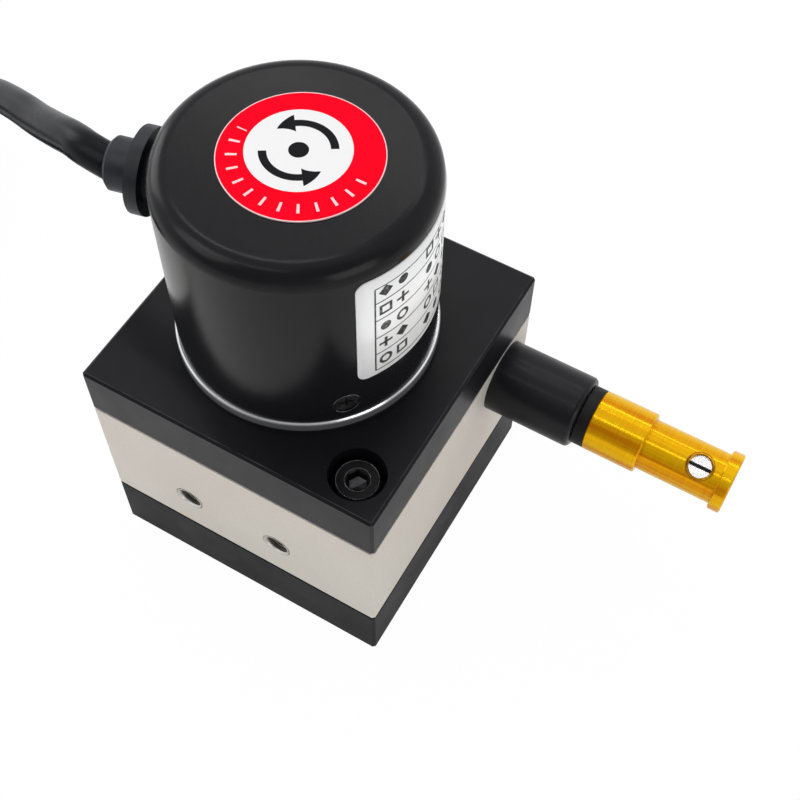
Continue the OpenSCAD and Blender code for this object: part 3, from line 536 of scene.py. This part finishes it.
def rim_metal():
    """The flange's turned rim: a painted highlight along its top edge, a satin grey side and a painted shadow at its
    foot.
    """
    n = Nodes("rim_metal")
    z = n.split()[2]
    marks = n.noise(1, 2, 0.6, n.stretched((12, 12, TOOL_LINES)))
    # Painted highlight: the top 0.2 mm of the rim is pale, glossy metal.
    bright = n.math("GREATER_THAN", z, cap_low.z - 0.20 * MM)
    # Painted shadow: the side more than 1.6 mm below the cap is near black.
    foot = n.math("LESS_THAN", z, cap_low.z - 1.60 * MM)
    side = n.ramp(marks, [(0.3, (0.150, 0.150, 0.155)), (0.7, (0.215, 0.215, 0.220))])
    side = n.mix(foot, side, (0.006, 0.006, 0.007))
    # The pale colour of the painted highlight.
    cut = n.ramp(marks, [(0.3, (0.74, 0.74, 0.75)), (0.7, (0.88, 0.88, 0.89))])
    gloss = n.math("SUBTRACT", 0.42, n.math("MULTIPLY", bright, 0.20))
    metal = n.math("SUBTRACT", n.math("MULTIPLY_ADD", bright, 0.35, 0.55), n.math("MULTIPLY", foot, 0.5))
    normal = n.bump(marks, 0.08, 0.00002)
    return n.set(colour=n.mix(bright, side, cut), rough=gloss, metal=metal, spec=0.3, normal=normal)


def gold_anodised():
    """Gold anodised skin with painted reflections: paler and darker lines of colour along the turned fitting."""
    n = Nodes("gold_anodised")
    # Painted reflections: lines along the fitting's axis that make its colour paler and darker.
    painted_reflection_streaks = n.noise(1, 3, 0.6, n.stretched((14, 620, 620)))
    marks = n.noise(1, 2, 0.6, n.stretched((TOOL_LINES, 12, 12)))
    both = n.math("MULTIPLY_ADD", painted_reflection_streaks, 0.75, n.math("MULTIPLY", marks, 0.25))
    colour = n.ramp(both, [(0.36, (0.66, 0.222, 0.0006)),
                           (0.50, (0.80, 0.405, 0.0014)),
                           (0.64, (0.87, 0.535, 0.0024))])
    gloss = n.spread(painted_reflection_streaks, 0.13, 0.21)
    return n.set(colour=colour, rough=gloss, metal=0.5, spec=0.1, normal=n.bump(marks, 0.05, 0.00002))


def sticker_print():
    """Red film with a white middle: two turning arrows and a ring of scale marks. Lengths are in mm."""
    off_x, off_y = 0.7, 0.55  # the white middle lies this far from the sticker's
    white_r, hub_r, pale_edge = 7.1, 1.35, 0.13
    arrow_r, arrow_half = 4.7, 0.55
    arc_middle, arc_half = 80, 48  # degrees
    head_length, head_slope = 2.6, 0.58
    tick_r, tick_half, tick_step, tick_wide = 9.0, 0.75, 15, 1.15
    bare_middle, bare_half = 130, 118  # degrees of the rim without ticks
    n = Nodes("sticker_print")
    place_x, place_y, _ = n.split()
    cx, cy = (sticker_low.x + sticker_high.x) / 2, (sticker_low.y + sticker_high.y) / 2
    x = n.math("MULTIPLY", n.math("SUBTRACT", place_x, cx), 1000)
    y = n.math("MULTIPLY", n.math("SUBTRACT", place_y, cy), 1000)

    def polar(px, py):
        return n.length(px, py), n.math("DEGREES", n.math("ARCTAN2", py, px))

    r_out, a_out = polar(x, y)
    r, a = polar(n.math("ADD", x, off_x), n.math("SUBTRACT", y, off_y))
    white = n.math("LESS_THAN", r, white_r)
    edge = n.math("GREATER_THAN", r_out, (sticker_high.x - sticker_low.x) * 500 - pale_edge)
    half_turn = n.math("MODULO", n.math("ADD", a, 360), 180)
    arc = n.math("MULTIPLY", n.inside(r, arrow_r, arrow_half), n.inside(half_turn, arc_middle, arc_half))
    past = n.math("MULTIPLY", n.math("SUBTRACT", half_turn, arc_middle + arc_half), 0.082)
    wide = n.math("MULTIPLY", n.math("SUBTRACT", head_length, past), head_slope)
    head = n.math("MULTIPLY", n.inside(r, arrow_r, wide), n.inside(past, head_length / 2, head_length / 2))
    hub = n.math("LESS_THAN", r, hub_r)
    black = n.math("MINIMUM", n.math("ADD", n.math("ADD", arc, head), hub), 1)
    step = n.math("MODULO", n.math("ADD", a_out, 360 + tick_step / 2), tick_step)
    tick = n.math("MULTIPLY", n.inside(step, tick_step / 2, tick_wide), n.inside(r_out, tick_r, tick_half))
    tick = n.math("MULTIPLY", tick, n.math("SUBTRACT", 1, n.inside(a_out, bare_middle, bare_half)))
    shade = n.ramp(n.noise(400, 3), [(0.3, (0.97, 0.0, 0.012)), (0.7, (1.0, 0.0, 0.016))])
    colour = n.mix(n.math("MINIMUM", n.math("ADD", tick, edge), 1), shade, (0.85, 0.62, 0.62))
    colour = n.mix(white, colour, (0.78, 0.78, 0.77))
    colour = n.mix(n.math("MULTIPLY", black, white), colour, (0.012, 0.012, 0.013))
    normal = n.bump(n.noise(1500, 2), 0.04, 0.00003)
    gloss = n.spread(n.noise(220, 3), 0.44, 0.52)
    return n.set(colour=colour, rough=gloss, spec=0.02, normal=normal)


def label_print():
    """White film with a black ruled table, and five plain shapes by turns in its rows. Lengths are in mm."""
    rows = [1.0, 4.8, 8.5, 12.4, 16.2, 19.3]
    line_half = 0.11
    table_left, table_right = 2.7, 41.5
    walls_at = [(2.6, 2.85), (41.3, 41.55)]
    cell_left, cell_wide, cell_high = 2.95, 2.9, 3.8
    filled = [(2.95, 8.75), (11.65, 26.15)]
    n = Nodes("label_print")
    place_x, place_y, place_z = n.split()
    turn = n.math("DEGREES", n.math("ARCTAN2", place_y, n.math("SUBTRACT", place_x, AXIS_X)))
    along = n.math("MULTIPLY", n.math("ADD", turn, -math.degrees(LABEL_START)), math.pi / 180 * CAP_R * 1000)
    z = n.math("MULTIPLY", n.math("SUBTRACT", place_z, label_low.z), 1000)

    def any_of(parts):
        total = parts[0]
        for part in parts[1:]:
            total = n.math("MAXIMUM", total, part)
        return total

    lines = n.math("MULTIPLY", any_of([n.between(z, row - line_half, row + line_half) for row in rows]),
                   n.between(along, table_left, table_right))
    walls = n.math("MULTIPLY", any_of([n.between(along, low, high) for low, high in walls_at]),
                   n.between(z, rows[0], rows[-1]))
    from_left, from_foot = n.math("SUBTRACT", along, cell_left), n.math("SUBTRACT", z, rows[0])
    u = n.math("SUBTRACT", n.math("MODULO", from_left, cell_wide), cell_wide / 2)
    v = n.math("SUBTRACT", n.math("MODULO", from_foot, cell_high), cell_high / 2)
    cell = n.math("ADD", n.math("FLOOR", n.math("DIVIDE", from_left, cell_wide)),
                  n.math("MULTIPLY", n.math("FLOOR", n.math("DIVIDE", from_foot, cell_high)), 2))
    kind = n.math("MODULO", n.math("ADD", cell, 20), 5)
    au, av = n.math("ABSOLUTE", u), n.math("ABSOLUTE", v)
    radial = n.length(u, v)
    square = n.math("MAXIMUM", au, av)
    plus = n.math("MULTIPLY", n.math("LESS_THAN", n.math("MINIMUM", au, av), 0.24),
                  n.math("LESS_THAN", square, 1.1))
    ring = n.inside(radial, 0.85, 0.24)
    outline = n.inside(square, 0.80, 0.22)
    diamond = n.math("LESS_THAN", n.math("ADD", au, av), 1.15)
    disc = n.math("LESS_THAN", radial, 0.85)
    shapes = [ring, outline, plus, diamond, disc]
    marks = any_of([n.math("MULTIPLY", shape, n.between(kind, k - 0.5, k + 0.5)) for k, shape in enumerate(shapes)])
    columns = any_of([n.between(along, low, high) for low, high in filled])
    marks = n.math("MULTIPLY", n.math("MULTIPLY", marks, columns), n.between(z, rows[0], rows[-1]))
    ink = n.math("MAXIMUM", n.math("MAXIMUM", lines, walls), marks)
    ink = n.math("MULTIPLY", ink, n.spread(n.noise(1800, 3, 0.7), 0.82, 1.0, 0.35, 0.5))
    paper = n.ramp(n.noise(90, 3), [(0.3, (0.93, 0.93, 0.92)), (0.7, (0.96, 0.96, 0.95))])
    colour = n.mix(ink, paper, (0.02, 0.02, 0.022))
    normal = n.bump(n.noise(1200, 2), 0.05, 0.00003)
    gloss = n.spread(n.noise(220, 3), 0.36, 0.46)
    return n.set(colour=colour, rough=gloss, spec=0.4, normal=normal)


def rope_metal():
    """Stainless rope: strands that cross its length at a slant."""
    n = Nodes("wire_rope")
    wave = n.new("ShaderNodeTexWave", wave_type="BANDS", bands_direction="DIAGONAL")
    n.link(n.place, wave.inputs["Vector"])
    wave.inputs["Scale"].default_value = 900
    colour = n.ramp(wave.outputs["Fac"], [(0.1, (0.16, 0.16, 0.17)), (0.7, (0.60, 0.61, 0.63))])
    normal = n.bump(wave.outputs["Fac"], 0.8, 0.00008)
    gloss = n.spread(n.noise(800, 2), 0.25, 0.4)
    return n.set(colour=colour, rough=gloss, metal=1.0, normal=normal)


def cable_jacket():
    """Soft PVC with handling marks and a faint dusty bloom."""
    n = Nodes("cable_jacket")
    patches = n.noise(70, 4, 0.6)
    colour = n.ramp(patches, [(0.3, (0.0045, 0.0050, 0.0062)), (0.7, (0.0075, 0.0082, 0.0100))])
    bloom = n.spread(n.noise(160, 5, 0.7), 0, 0.4, 0.60, 0.78)
    colour = n.mix(bloom, colour, (0.030, 0.033, 0.040))
    gloss = n.spread(n.noise(120, 4, 0.6), 0.24, 0.34)
    dents = n.bump(n.noise(110, 2), 0.10, 0.0004)
    normal = n.bump(n.noise(2400, 3, 0.6), 0.12, 0.00004, dents)
    return n.set(colour=colour, rough=gloss, spec=0.06, normal=normal)


MATS = {
    "anodised": anodised_black("anodised_black", 0.15),
    # Painted shade: a copy of the black anodise whose low specular level darkens the base plate.
    "anodised_shaded_base": anodised_black("anodised_shaded_base", 0.05),
    "bare": bare_aluminium(),
    "cap": grained("cap_coat", (0.0062, 0.0062, 0.0070), (0.0085, 0.0085, 0.0095), rough=(0.18, 0.23),
                   spec=0.13, fine=3400, bump=0.22, distance=0.00005, patch=40),
    "rim": rim_metal(),
    "gold": gold_anodised(),
    "outlet": grained("outlet_black", (0.0055, 0.0055, 0.0070), (0.0090, 0.0090, 0.0110), rough=(0.26, 0.36),
                      spec=0.2, fine=2600, bump=0.12),
    "rubber": grained("soft_rubber", (0.0050, 0.0056, 0.0085), (0.0150, 0.0168, 0.0240), rough=(0.36, 0.52),
                      spec=0.3, grain=600, fine=1800, bump=0.2, distance=0.00006, patch=150),
    "buffer": grained("buffer_rubber", (0.0046, 0.0046, 0.0048), (0.0088, 0.0088, 0.0086), rough=(0.40, 0.55),
                      spec=0.16, grain=600, fine=1800, bump=0.2, distance=0.00006, patch=150),
    "oxide": grained("black_oxide", (0.0040, 0.0040, 0.0045), (0.0080, 0.0080, 0.0088), rough=(0.28, 0.42),
                     spec=0.18, grain=1500, fine=4000, bump=0.15, patch=200),
    # Paler oxide as a painted glint: on the cap screws and on the floors of the corner screws' sockets.
    "pale_glint_oxide": grained("pale_glint_oxide", (0.010, 0.010, 0.011), (0.060, 0.060, 0.062), rough=(0.25, 0.35), metal=0.5,
                          patch=700),
    "steel": turned_metal("bright_steel", (0.55, 0.56, 0.58), (0.72, 0.73, 0.75), 2, rough=(0.2, 0.3)),
    # Painted shade: a dark metal for the inside of holes and the dark line round them.
    "painted_hole_shade": grained("painted_hole_shade", (0.022, 0.019, 0.015), (0.050, 0.044, 0.036), rough=(0.35, 0.5),
                            metal=0.5),
    # Pale metal for painted highlights along edges.
    "painted_glint_edge": grained("painted_glint_edge", (0.10, 0.10, 0.11), (0.32, 0.32, 0.33), rough=(0.2, 0.35), metal=1.0,
                         patch=900),
    # Pale metal for painted highlights: the housing's upper edges and the side holes' lips.
    "painted_highlight_edge": grained("painted_highlight_edge", (0.80, 0.79, 0.76), (0.92, 0.91, 0.88), rough=(0.25, 0.35), metal=0.3),
    # Painted shade: a dark gold for the neck's hole.
    "gold_painted_shade": grained("gold_thread_painted_shade", (0.30, 0.13, 0.004), (0.46, 0.20, 0.008), rough=(0.3, 0.4), metal=0.8),
    "clamp": turned_metal("plated_screw", (0.78, 0.76, 0.76), (0.92, 0.90, 0.90), 2, rough=(0.22, 0.34)),
    "blued": grained("blued_strip", (0.06, 0.065, 0.09), (0.10, 0.11, 0.15), rough=(0.25, 0.35), metal=1.0),
    "rope": rope_metal(),
    "brass": turned_metal("brass", (0.55, 0.38, 0.13), (0.72, 0.52, 0.20), 2),
    "copper": grained("crimped_copper", (0.50, 0.25, 0.13), (0.68, 0.36, 0.20), rough=(0.25, 0.4), metal=1.0),
    "felt": grained("felt", (0.30, 0.28, 0.24), (0.45, 0.43, 0.37), rough=(0.85, 0.95), fine=1500, bump=0.6,
                    distance=0.0001, sheen=0.3),
    "ceramic": grained("ceramic", (0.72, 0.70, 0.65), (0.80, 0.78, 0.73), rough=(0.12, 0.2)),
    "board": grained("board_mask", (0.004, 0.07, 0.03), (0.008, 0.10, 0.045), rough=(0.3, 0.4)),
    "chip": grained("moulded_black", (0.010, 0.010, 0.011), (0.018, 0.018, 0.020), rough=(0.45, 0.6)),
    "glass": grained("disc_glass", (0.55, 0.62, 0.66), (0.65, 0.72, 0.76), rough=(0.05, 0.1), glass=0.8),
    "sticker": sticker_print(),
    "label": label_print(),
    "jacket": cable_jacket(),
    "strap": grained("hook_strap", (0.012, 0.012, 0.013), (0.030, 0.030, 0.032), rough=(0.75, 0.9), grain=2200,
                     fine=1900, bump=0.7, distance=0.00012, sheen=0.2),
    "tinned": turned_metal("tinned_copper", (0.60, 0.60, 0.60), (0.78, 0.77, 0.75), 0),
    "brown": grained("core_brown", (0.09, 0.035, 0.015), (0.12, 0.045, 0.02), rough=(0.3, 0.4)),
    "white": grained("core_white", (0.62, 0.62, 0.60), (0.72, 0.72, 0.70), rough=(0.3, 0.4)),
    "green": grained("core_green", (0.01, 0.16, 0.04), (0.015, 0.22, 0.06), rough=(0.3, 0.4)),
    "yellow": grained("core_yellow", (0.70, 0.48, 0.02), (0.80, 0.56, 0.03), rough=(0.3, 0.4)),
    "grey": grained("core_grey", (0.16, 0.16, 0.17), (0.22, 0.22, 0.23), rough=(0.3, 0.4)),
}

NODE_MATS = {
    "anodised": ["cover_plate"],
    # The base plate wears the darker copy, as painted shade.
    "anodised_shaded_base": ["base_plate"],
    "bare": ["drum_housing", "wire_drum"],
    "rim": ["encoder_flange"],
    "gold": ["wire_end_fitting"],
    "outlet": ["wire_outlet"],
    "cap": ["encoder_cap"],
    # The cap screws wear the paler oxide, as a painted glint.
    "oxide": ["housing_screws", "base_screws", "drum_set_screw", "retaining_ring"],
    "pale_glint_oxide": ["cap_screws"],
    "steel": ["spring_cover", "bearing_outer_rings", "bearing_balls", "bearing_inner_rings", "main_shaft",
              "drum_spacer", "flange_screws", "board_screws"],
    "clamp": ["clamp_screw"],
    "blued": ["power_spring"],
    "rope": ["wound_wire", "draw_wire"],
    "brass": ["spring_arbor", "disc_hub", "board_pillars"],
    "copper": ["wire_ferrule"],
    "rubber": ["cap_seal", "cable_gland", "gland_nut"],
    "buffer": ["buffer_ring"],
    "felt": ["wiper_felt"],
    "ceramic": ["wire_guide"],
    "board": ["circuit_board"],
    "chip": ["board_parts", "optical_head"],
    "glass": ["code_disc"],
    "sticker": ["round_sticker"],
    "label": ["side_label"],
    "jacket": ["cable_inner_end", "cable", "cable_coil", "cable_tail", "lead_sleeve"],
    "strap": ["coil_tie"],
    "brown": ["inner_leads", "flying_leads"],
}


def wear(obj, mat):
    """Give an object one material in place of what it had."""
    obj.data.materials.clear()
    obj.data.materials.append(MATS[mat])


def dress(obj, mat, body="housing"):
    """A new piece's material and the body that it rides on."""
    wear(obj, mat)
    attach(obj, body)


for mat, names in NODE_MATS.items():
    for name in names:
        wear(nodes[name], mat)
wear(cable, "jacket")
wear(strap, "strap")
for piece, mat in leads:
    wear(piece, mat)
for piece in [cable, strap] + [p for p, _ in leads]:
    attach(piece, "housing")

# ---------------------------------------------------------------- small detail

RING_SIDES = 72


def side_holes():
    """The name of each side hole and the middle of its mouth."""
    for side, name in ((-1, "left"), (1, "right")):
        yield name, Vector((AXIS_X + side * HOLE_SIDE, housing_low.y, housing_low.z + HOLE_RISE))


def make_threads():
    """The threads in the two side holes, dark as painted shade inside the holes."""
    for name, mouth in side_holes():
        start = mouth + Vector((0, 0.55 * MM, 0))
        piece = helix("side_thread_" + name, start, (0, 1, 0), 2.11 * MM, 0.8 * MM, 8.6, 0.36 * MM)
        dress(piece, "painted_hole_shade")


make_threads()


def make_hole_edges():
    """The edges of the two side holes: a cone in the mouth, pale as a painted highlight, a low ridge, and a dark line
    round it as painted shade.
    """
    profiles = {"lip": [(-0.30 * MM, 2.03 * MM), (0.01 * MM, 2.09 * MM), (-0.30 * MM, 2.09 * MM)],
                "edge": [(-0.02 * MM, 2.10 * MM), (0.06 * MM, 2.28 * MM), (-0.02 * MM, 2.36 * MM)],
                "line": [(-0.02 * MM, 2.34 * MM), (0.03 * MM, 2.38 * MM), (-0.02 * MM, 2.43 * MM)]}
    # The lip is a painted highlight and the line is painted shade.
    looks = {"lip": "painted_highlight_edge", "edge": "bare", "line": "painted_hole_shade"}
    for name, mouth in side_holes():
        for part, profile in profiles.items():
            ring = turned_piece("hole_%s_%s" % (part, name), profile, mouth, (0, -1, 0), RING_SIDES, closed=True,
                                smooth=False)
            dress(ring, looks[part])


make_hole_edges()


def make_housing_edge_highlights():
    """Painted highlights: pale bars along the housing's upper edges."""
    low, high = housing_low, housing_high
    inset, out, deep = 0.5 * MM, 0.05 * MM, 0.24 * MM
    middle = (low + high) / 2
    half = (high.x - low.x) / 2
    for k, name in enumerate(("front", "right", "back", "left")):
        turn = math.radians(90 * k)
        away = Vector((math.sin(turn), -math.cos(turn), 0))
        along = Vector((math.cos(turn), math.sin(turn), 0))
        corner = Vector((middle.x, middle.y, high.z)) + away * half
        verts = []
        for end in (-1, 1):
            at = corner + along * end * (half - inset)
            verts += [at - away * out, at + away * out, at - away * out - UP * deep]
        bar = mesh_object("painted_highlight_edge_" + name, verts, [(0, 1, 2), (3, 5, 4), (0, 3, 4, 1), (1, 4, 5, 2), (2, 5, 3, 0)],
                          smooth=False)
        dress(bar, "painted_highlight_edge")


make_housing_edge_highlights()


def ring_on_round(name, axis, way, out, body_r, radii, mat, body):
    """A thin ring that lies on a round body, where the direction out leaves its axis."""
    side = way.cross(out)
    verts, faces = [], []
    for k in range(RING_SIDES):
        a = 2 * math.pi * k / RING_SIDES
        for r, lift in ((radii[0], -0.02), ((radii[0] + radii[1]) / 2, 0.03), (radii[1], -0.02)):
            x, y = r * MM * math.cos(a), r * MM * math.sin(a)
            verts.append(axis + way * x + side * y + out * (math.sqrt(body_r ** 2 - y ** 2) + lift * MM))
    for k in range(RING_SIDES):
        m = (k + 1) % RING_SIDES
        for p, q in ((0, 1), (1, 2), (2, 0)):
            faces.append((3 * k + p, 3 * m + p, 3 * m + q, 3 * k + q))
    dress(mesh_object(name, verts, faces), mat, body)


def make_cap_rings():
    """Painted highlights: thin pale rings on the edges of the three screw seats in the cap's side."""
    axis = Vector((AXIS_X, 0, cap_low.z + CAP_SCREW_RISE))
    for k in range(3):
        a = math.radians(120 * k) + CAP_SCREW_ANGLE
        ring_on_round("seat_edge_%d" % k, axis, UP, Vector((math.cos(a), math.sin(a), 0)), CAP_R,
                      (1.93, 2.08), "painted_glint_edge", "housing")


make_cap_rings()


def edge_ring(name, place, radius):
    """A painted highlight: a thin level ring that lies on an edge."""
    profile = [(-0.05 * MM, radius), (0.03 * MM, radius - 0.05 * MM), (0.03 * MM, radius + 0.05 * MM)]
    dress(turned_piece(name, profile, place, UP, RING_SIDES, closed=True), "painted_glint_edge")


def make_screw_highlights():
    """Painted highlights on each corner screw: thin rings on the head's edge and the socket's edge, and a paler
    socket floor.
    """
    low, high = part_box("housing_screws")
    r = CORNER_SCREW_R
    floor_profile = [(-2.02 * MM, 0.02 * MM), (-1.72 * MM, 1.25 * MM),
                     (-1.66 * MM, 1.42 * MM), (-2.02 * MM, 1.42 * MM)]
    for name, x, y in (("back", low.x + r, high.y - r), ("front", high.x - r, low.y + r)):
        place = Vector((x, y, high.z))
        edge_place = place - UP * 0.02 * MM
        edge_ring("head_edge_" + name, edge_place, 3.13 * MM)
        edge_ring("socket_edge_" + name, edge_place, 1.90 * MM)
        floor = turned_piece("socket_floor_" + name, floor_profile, place, UP, 6, smooth=False)
        dress(floor, "pale_glint_oxide")


make_screw_highlights()


def make_neck_hole():
    """The thread in the neck's hole and a ring round its mouth, dark gold as painted shade, and a dark bar in the
    clamp screw's slot as painted shadow.
    """
    low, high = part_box("clamp_screw")
    out = Vector((0, -math.sin(CLAMP_LEAN), math.cos(CLAMP_LEAN)))
    axis = Vector(((low.x + high.x) / 2, WIRE_Y, WIRE_Z))
    thread = helix("neck_thread", axis + out * 3.25 * MM, out, 1.98 * MM, 0.35 * MM, 2.2, 0.2 * MM, 48)
    dress(thread, "gold_painted_shade", "wire_end")
    ring_on_round("neck_hole_painted_shade", axis, ALONG_X, out, NECK_R, (2.05, 2.36), "gold_painted_shade",
                  "wire_end")
    # A dark bar in the clamp screw's slot: painted shadow.
    across = Vector((0, math.cos(CLAMP_LEAN), math.sin(CLAMP_LEAN))) * 0.24 * MM
    along = ALONG_X * 1.85 * MM
    base = axis + out * 2.9 * MM
    top = out * 0.12 * MM
    corners = [base + along * a + across * b + top * c for c in (0, 1) for a, b in
               ((-1, -1), (1, -1), (1, 1), (-1, 1))]
    faces = [(0, 3, 2, 1), (4, 5, 6, 7), (0, 1, 5, 4), (1, 2, 6, 5), (2, 3, 7, 6), (3, 0, 4, 7)]
    slot = mesh_object("clamp_slot_painted_shadow", corners, faces, smooth=False)
    dress(slot, "oxide", "wire_end")


make_neck_hole()


def make_side_label():
    """The side label with rounded corners, thin and bent round the cap."""
    round_r = 1.6 * MM
    inner_r, outer_r = CAP_R + 0.005 * MM, CAP_R + 0.145 * MM
    length = LABEL_ARC * CAP_R
    height = label_high.z - label_low.z
    quarter = [round_r * (1 - math.cos(math.radians(10 * k))) for k in range(10)]
    along = quarter + [round_r + (length - 2 * round_r) * k / 72 for k in range(1, 72)]
    along += [length - d for d in reversed(quarter)]
    verts, faces = [], []
    for d in along:
        edge = min(d, length - d, round_r)
        cut = round_r - math.sqrt(max(0, round_r ** 2 - (round_r - edge) ** 2))
        turn = LABEL_START + d / CAP_R
        for r in (inner_r, outer_r):
            for z in (label_low.z + cut, label_low.z + height - cut):
                verts.append((AXIS_X + r * math.cos(turn), r * math.sin(turn), z))
    for i in range(len(along) - 1):
        a, b = 4 * i, 4 * i + 4
        for p, q in ((0, 1), (1, 3), (3, 2), (2, 0)):
            faces.append((a + p, a + q, b + q, b + p))
    last = 4 * len(along) - 4
    faces += [(0, 2, 3, 1), (last, last + 1, last + 3, last + 2)]
    label = mesh_object("side_label_film", verts, faces, smooth=False)
    for face in label.data.polygons:
        face.use_smooth = abs(face.normal.z) < 0.5
    dress(label, "label")
    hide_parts("side_label")


make_side_label()


def make_wire():
    """The draw wire: a straight rope from near the drum out to the wire end fitting."""
    start = Vector((3 * MM, WIRE_Y, WIRE_Z))
    end = Vector((fitting_high.x - 2.5 * MM, WIRE_Y, WIRE_Z))
    steps = 160
    path = [start.lerp(end, i / steps) for i in range(steps + 1)]
    wire = tube("draw_wire_rope", path, 0.3 * MM, 16)
    wear(wire, "rope")
    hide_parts("draw_wire")
    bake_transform(wire)


make_wire()

# ---------------------------------------------------------------- stage and light


def make_floor():
    """A pale floor that keeps the part's shadow and looks white to the camera."""
    half, z = 3.0, -0.0002
    camera_share, mirror_share = 0.98, 0.25
    corners = [(-half, -half, z), (half, -half, z), (half, half, z), (-half, half, z)]
    floor = mesh_object("floor", corners, [(0, 1, 2, 3)], smooth=False)
    n = Nodes("floor_white")
    tone = n.ramp(n.noise(2, 2), [(0.3, (0.90, 0.90, 0.90)), (0.7, (0.92, 0.92, 0.92))])
    n.set(colour=tone, rough=0.9, spec=0.1)
    glow = n.new("ShaderNodeEmission")
    glow.inputs["Color"].default_value = (1, 1, 1, 1)
    ray = n.new("ShaderNodeLightPath")
    seen = n.math("MULTIPLY", ray.outputs["Is Camera Ray"], camera_share)
    mirrored = n.math("MAXIMUM", ray.outputs["Is Glossy Ray"], ray.outputs["Is Transmission Ray"])
    share = n.math("MAXIMUM", seen, n.math("MULTIPLY", mirrored, mirror_share))
    mixed = n.new("ShaderNodeMixShader")
    n.link(share, mixed.inputs[0])
    n.link(n.bsdf.outputs["BSDF"], mixed.inputs[1])
    n.link(glow.outputs[0], mixed.inputs[2])
    n.link(mixed.outputs[0], n.out.inputs["Surface"])
    floor.data.materials.append(n.mat)


WORLD_FRONT = (0.487, -0.873, 0.0)  # level, towards the camera
WORLD_STOPS = [(0.0, 0.98), (0.10, 0.86), (0.34, 0.40), (0.75, 0.26), (1.0, 0.45)]  # from the back to the front


def make_world():
    """A room that is bright behind the part and darker in front; the camera itself sees white."""
    world = bpy.data.worlds.new("studio")
    bpy.context.scene.world = world
    world.use_nodes = True
    tree = world.node_tree
    tree.nodes.clear()
    out = tree.nodes.new("ShaderNodeOutputWorld")
    where = tree.nodes.new("ShaderNodeTexCoord")
    toward = tree.nodes.new("ShaderNodeVectorMath")
    toward.operation = "DOT_PRODUCT"
    tree.links.new(where.outputs["Generated"], toward.inputs[0])
    toward.inputs[1].default_value = WORLD_FRONT
    ramp = tree.nodes.new("ShaderNodeValToRGB")
    tree.links.new(toward.outputs["Value"], ramp.inputs["Fac"])
    elements = ramp.color_ramp.elements
    while len(elements) < len(WORLD_STOPS):
        elements.new(0.5)
    for element, (pos, v) in zip(elements, WORLD_STOPS):
        element.position = pos
        element.color = (v, v, v * 1.02, 1)
    room = tree.nodes.new("ShaderNodeBackground")
    tree.links.new(ramp.outputs["Color"], room.inputs["Color"])
    room.inputs["Strength"].default_value = 1.0
    white = tree.nodes.new("ShaderNodeBackground")
    white.inputs["Color"].default_value = (1, 1, 1, 1)
    ray = tree.nodes.new("ShaderNodeLightPath")
    mixed = tree.nodes.new("ShaderNodeMixShader")
    tree.links.new(ray.outputs["Is Camera Ray"], mixed.inputs[0])
    tree.links.new(room.outputs[0], mixed.inputs[1])
    tree.links.new(white.outputs[0], mixed.inputs[2])
    tree.links.new(mixed.outputs[0], out.inputs["Surface"])


def area_light(name, place, target, size, power, size_y=None):
    """A square lamp, or a rectangular one, that faces its target."""
    data = bpy.data.lights.new(name, "AREA")
    data.shape = "RECTANGLE" if size_y else "SQUARE"
    data.size = size
    if size_y:
        data.size_y = size_y
    data.energy = power
    lamp = bpy.data.objects.new(name, data)
    bpy.context.scene.collection.objects.link(lamp)
    way = Vector(target) - Vector(place)
    lamp.location = place
    lamp.rotation_euler = way.to_track_quat("-Z", "Y").to_euler()
    return lamp


STRIP_TARGET = Vector((0.03, 0.01, 0.035))
STRIP_DISTANCE = 0.7


def strip(name, way, long, thin, radiance):
    """A narrow lamp that lies along X, with the brightness that it shows in a mirror."""
    place = STRIP_TARGET + Vector(way).normalized() * STRIP_DISTANCE
    lamp = area_light(name, place, STRIP_TARGET, long, radiance * math.pi * long * thin, thin)
    z = (place - STRIP_TARGET).normalized()
    x = (ALONG_X - z * z.x).normalized()
    lamp.matrix_world = Matrix.Translation(place) @ Matrix((x, z.cross(x), z)).transposed().to_4x4()


make_floor()
make_world()
area_light("key", (-0.62, -0.55, 0.80), (0, 0, 0.04), 0.6, 2.7)
area_light("left_fill", (-0.9, 0.15, 0.35), (0, 0, 0.05), 0.5, 2.4)
area_light("right_fill", (0.85, -0.35, 0.30), (0, 0, 0.03), 0.5, 2.1)
# The first two draw the light lines along the outlet and the fitting, the third the one on the cap's edge.
strip("far_strip", (-0.258, 0.579, 0.773), 0.5, 0.035, 6.0)
strip("near_strip", (-0.258, -0.374, 0.890), 0.5, 0.030, 6.0)
strip("edge_strip", (-0.363, 0.256, 0.896), 0.32, 0.014, 24.0)
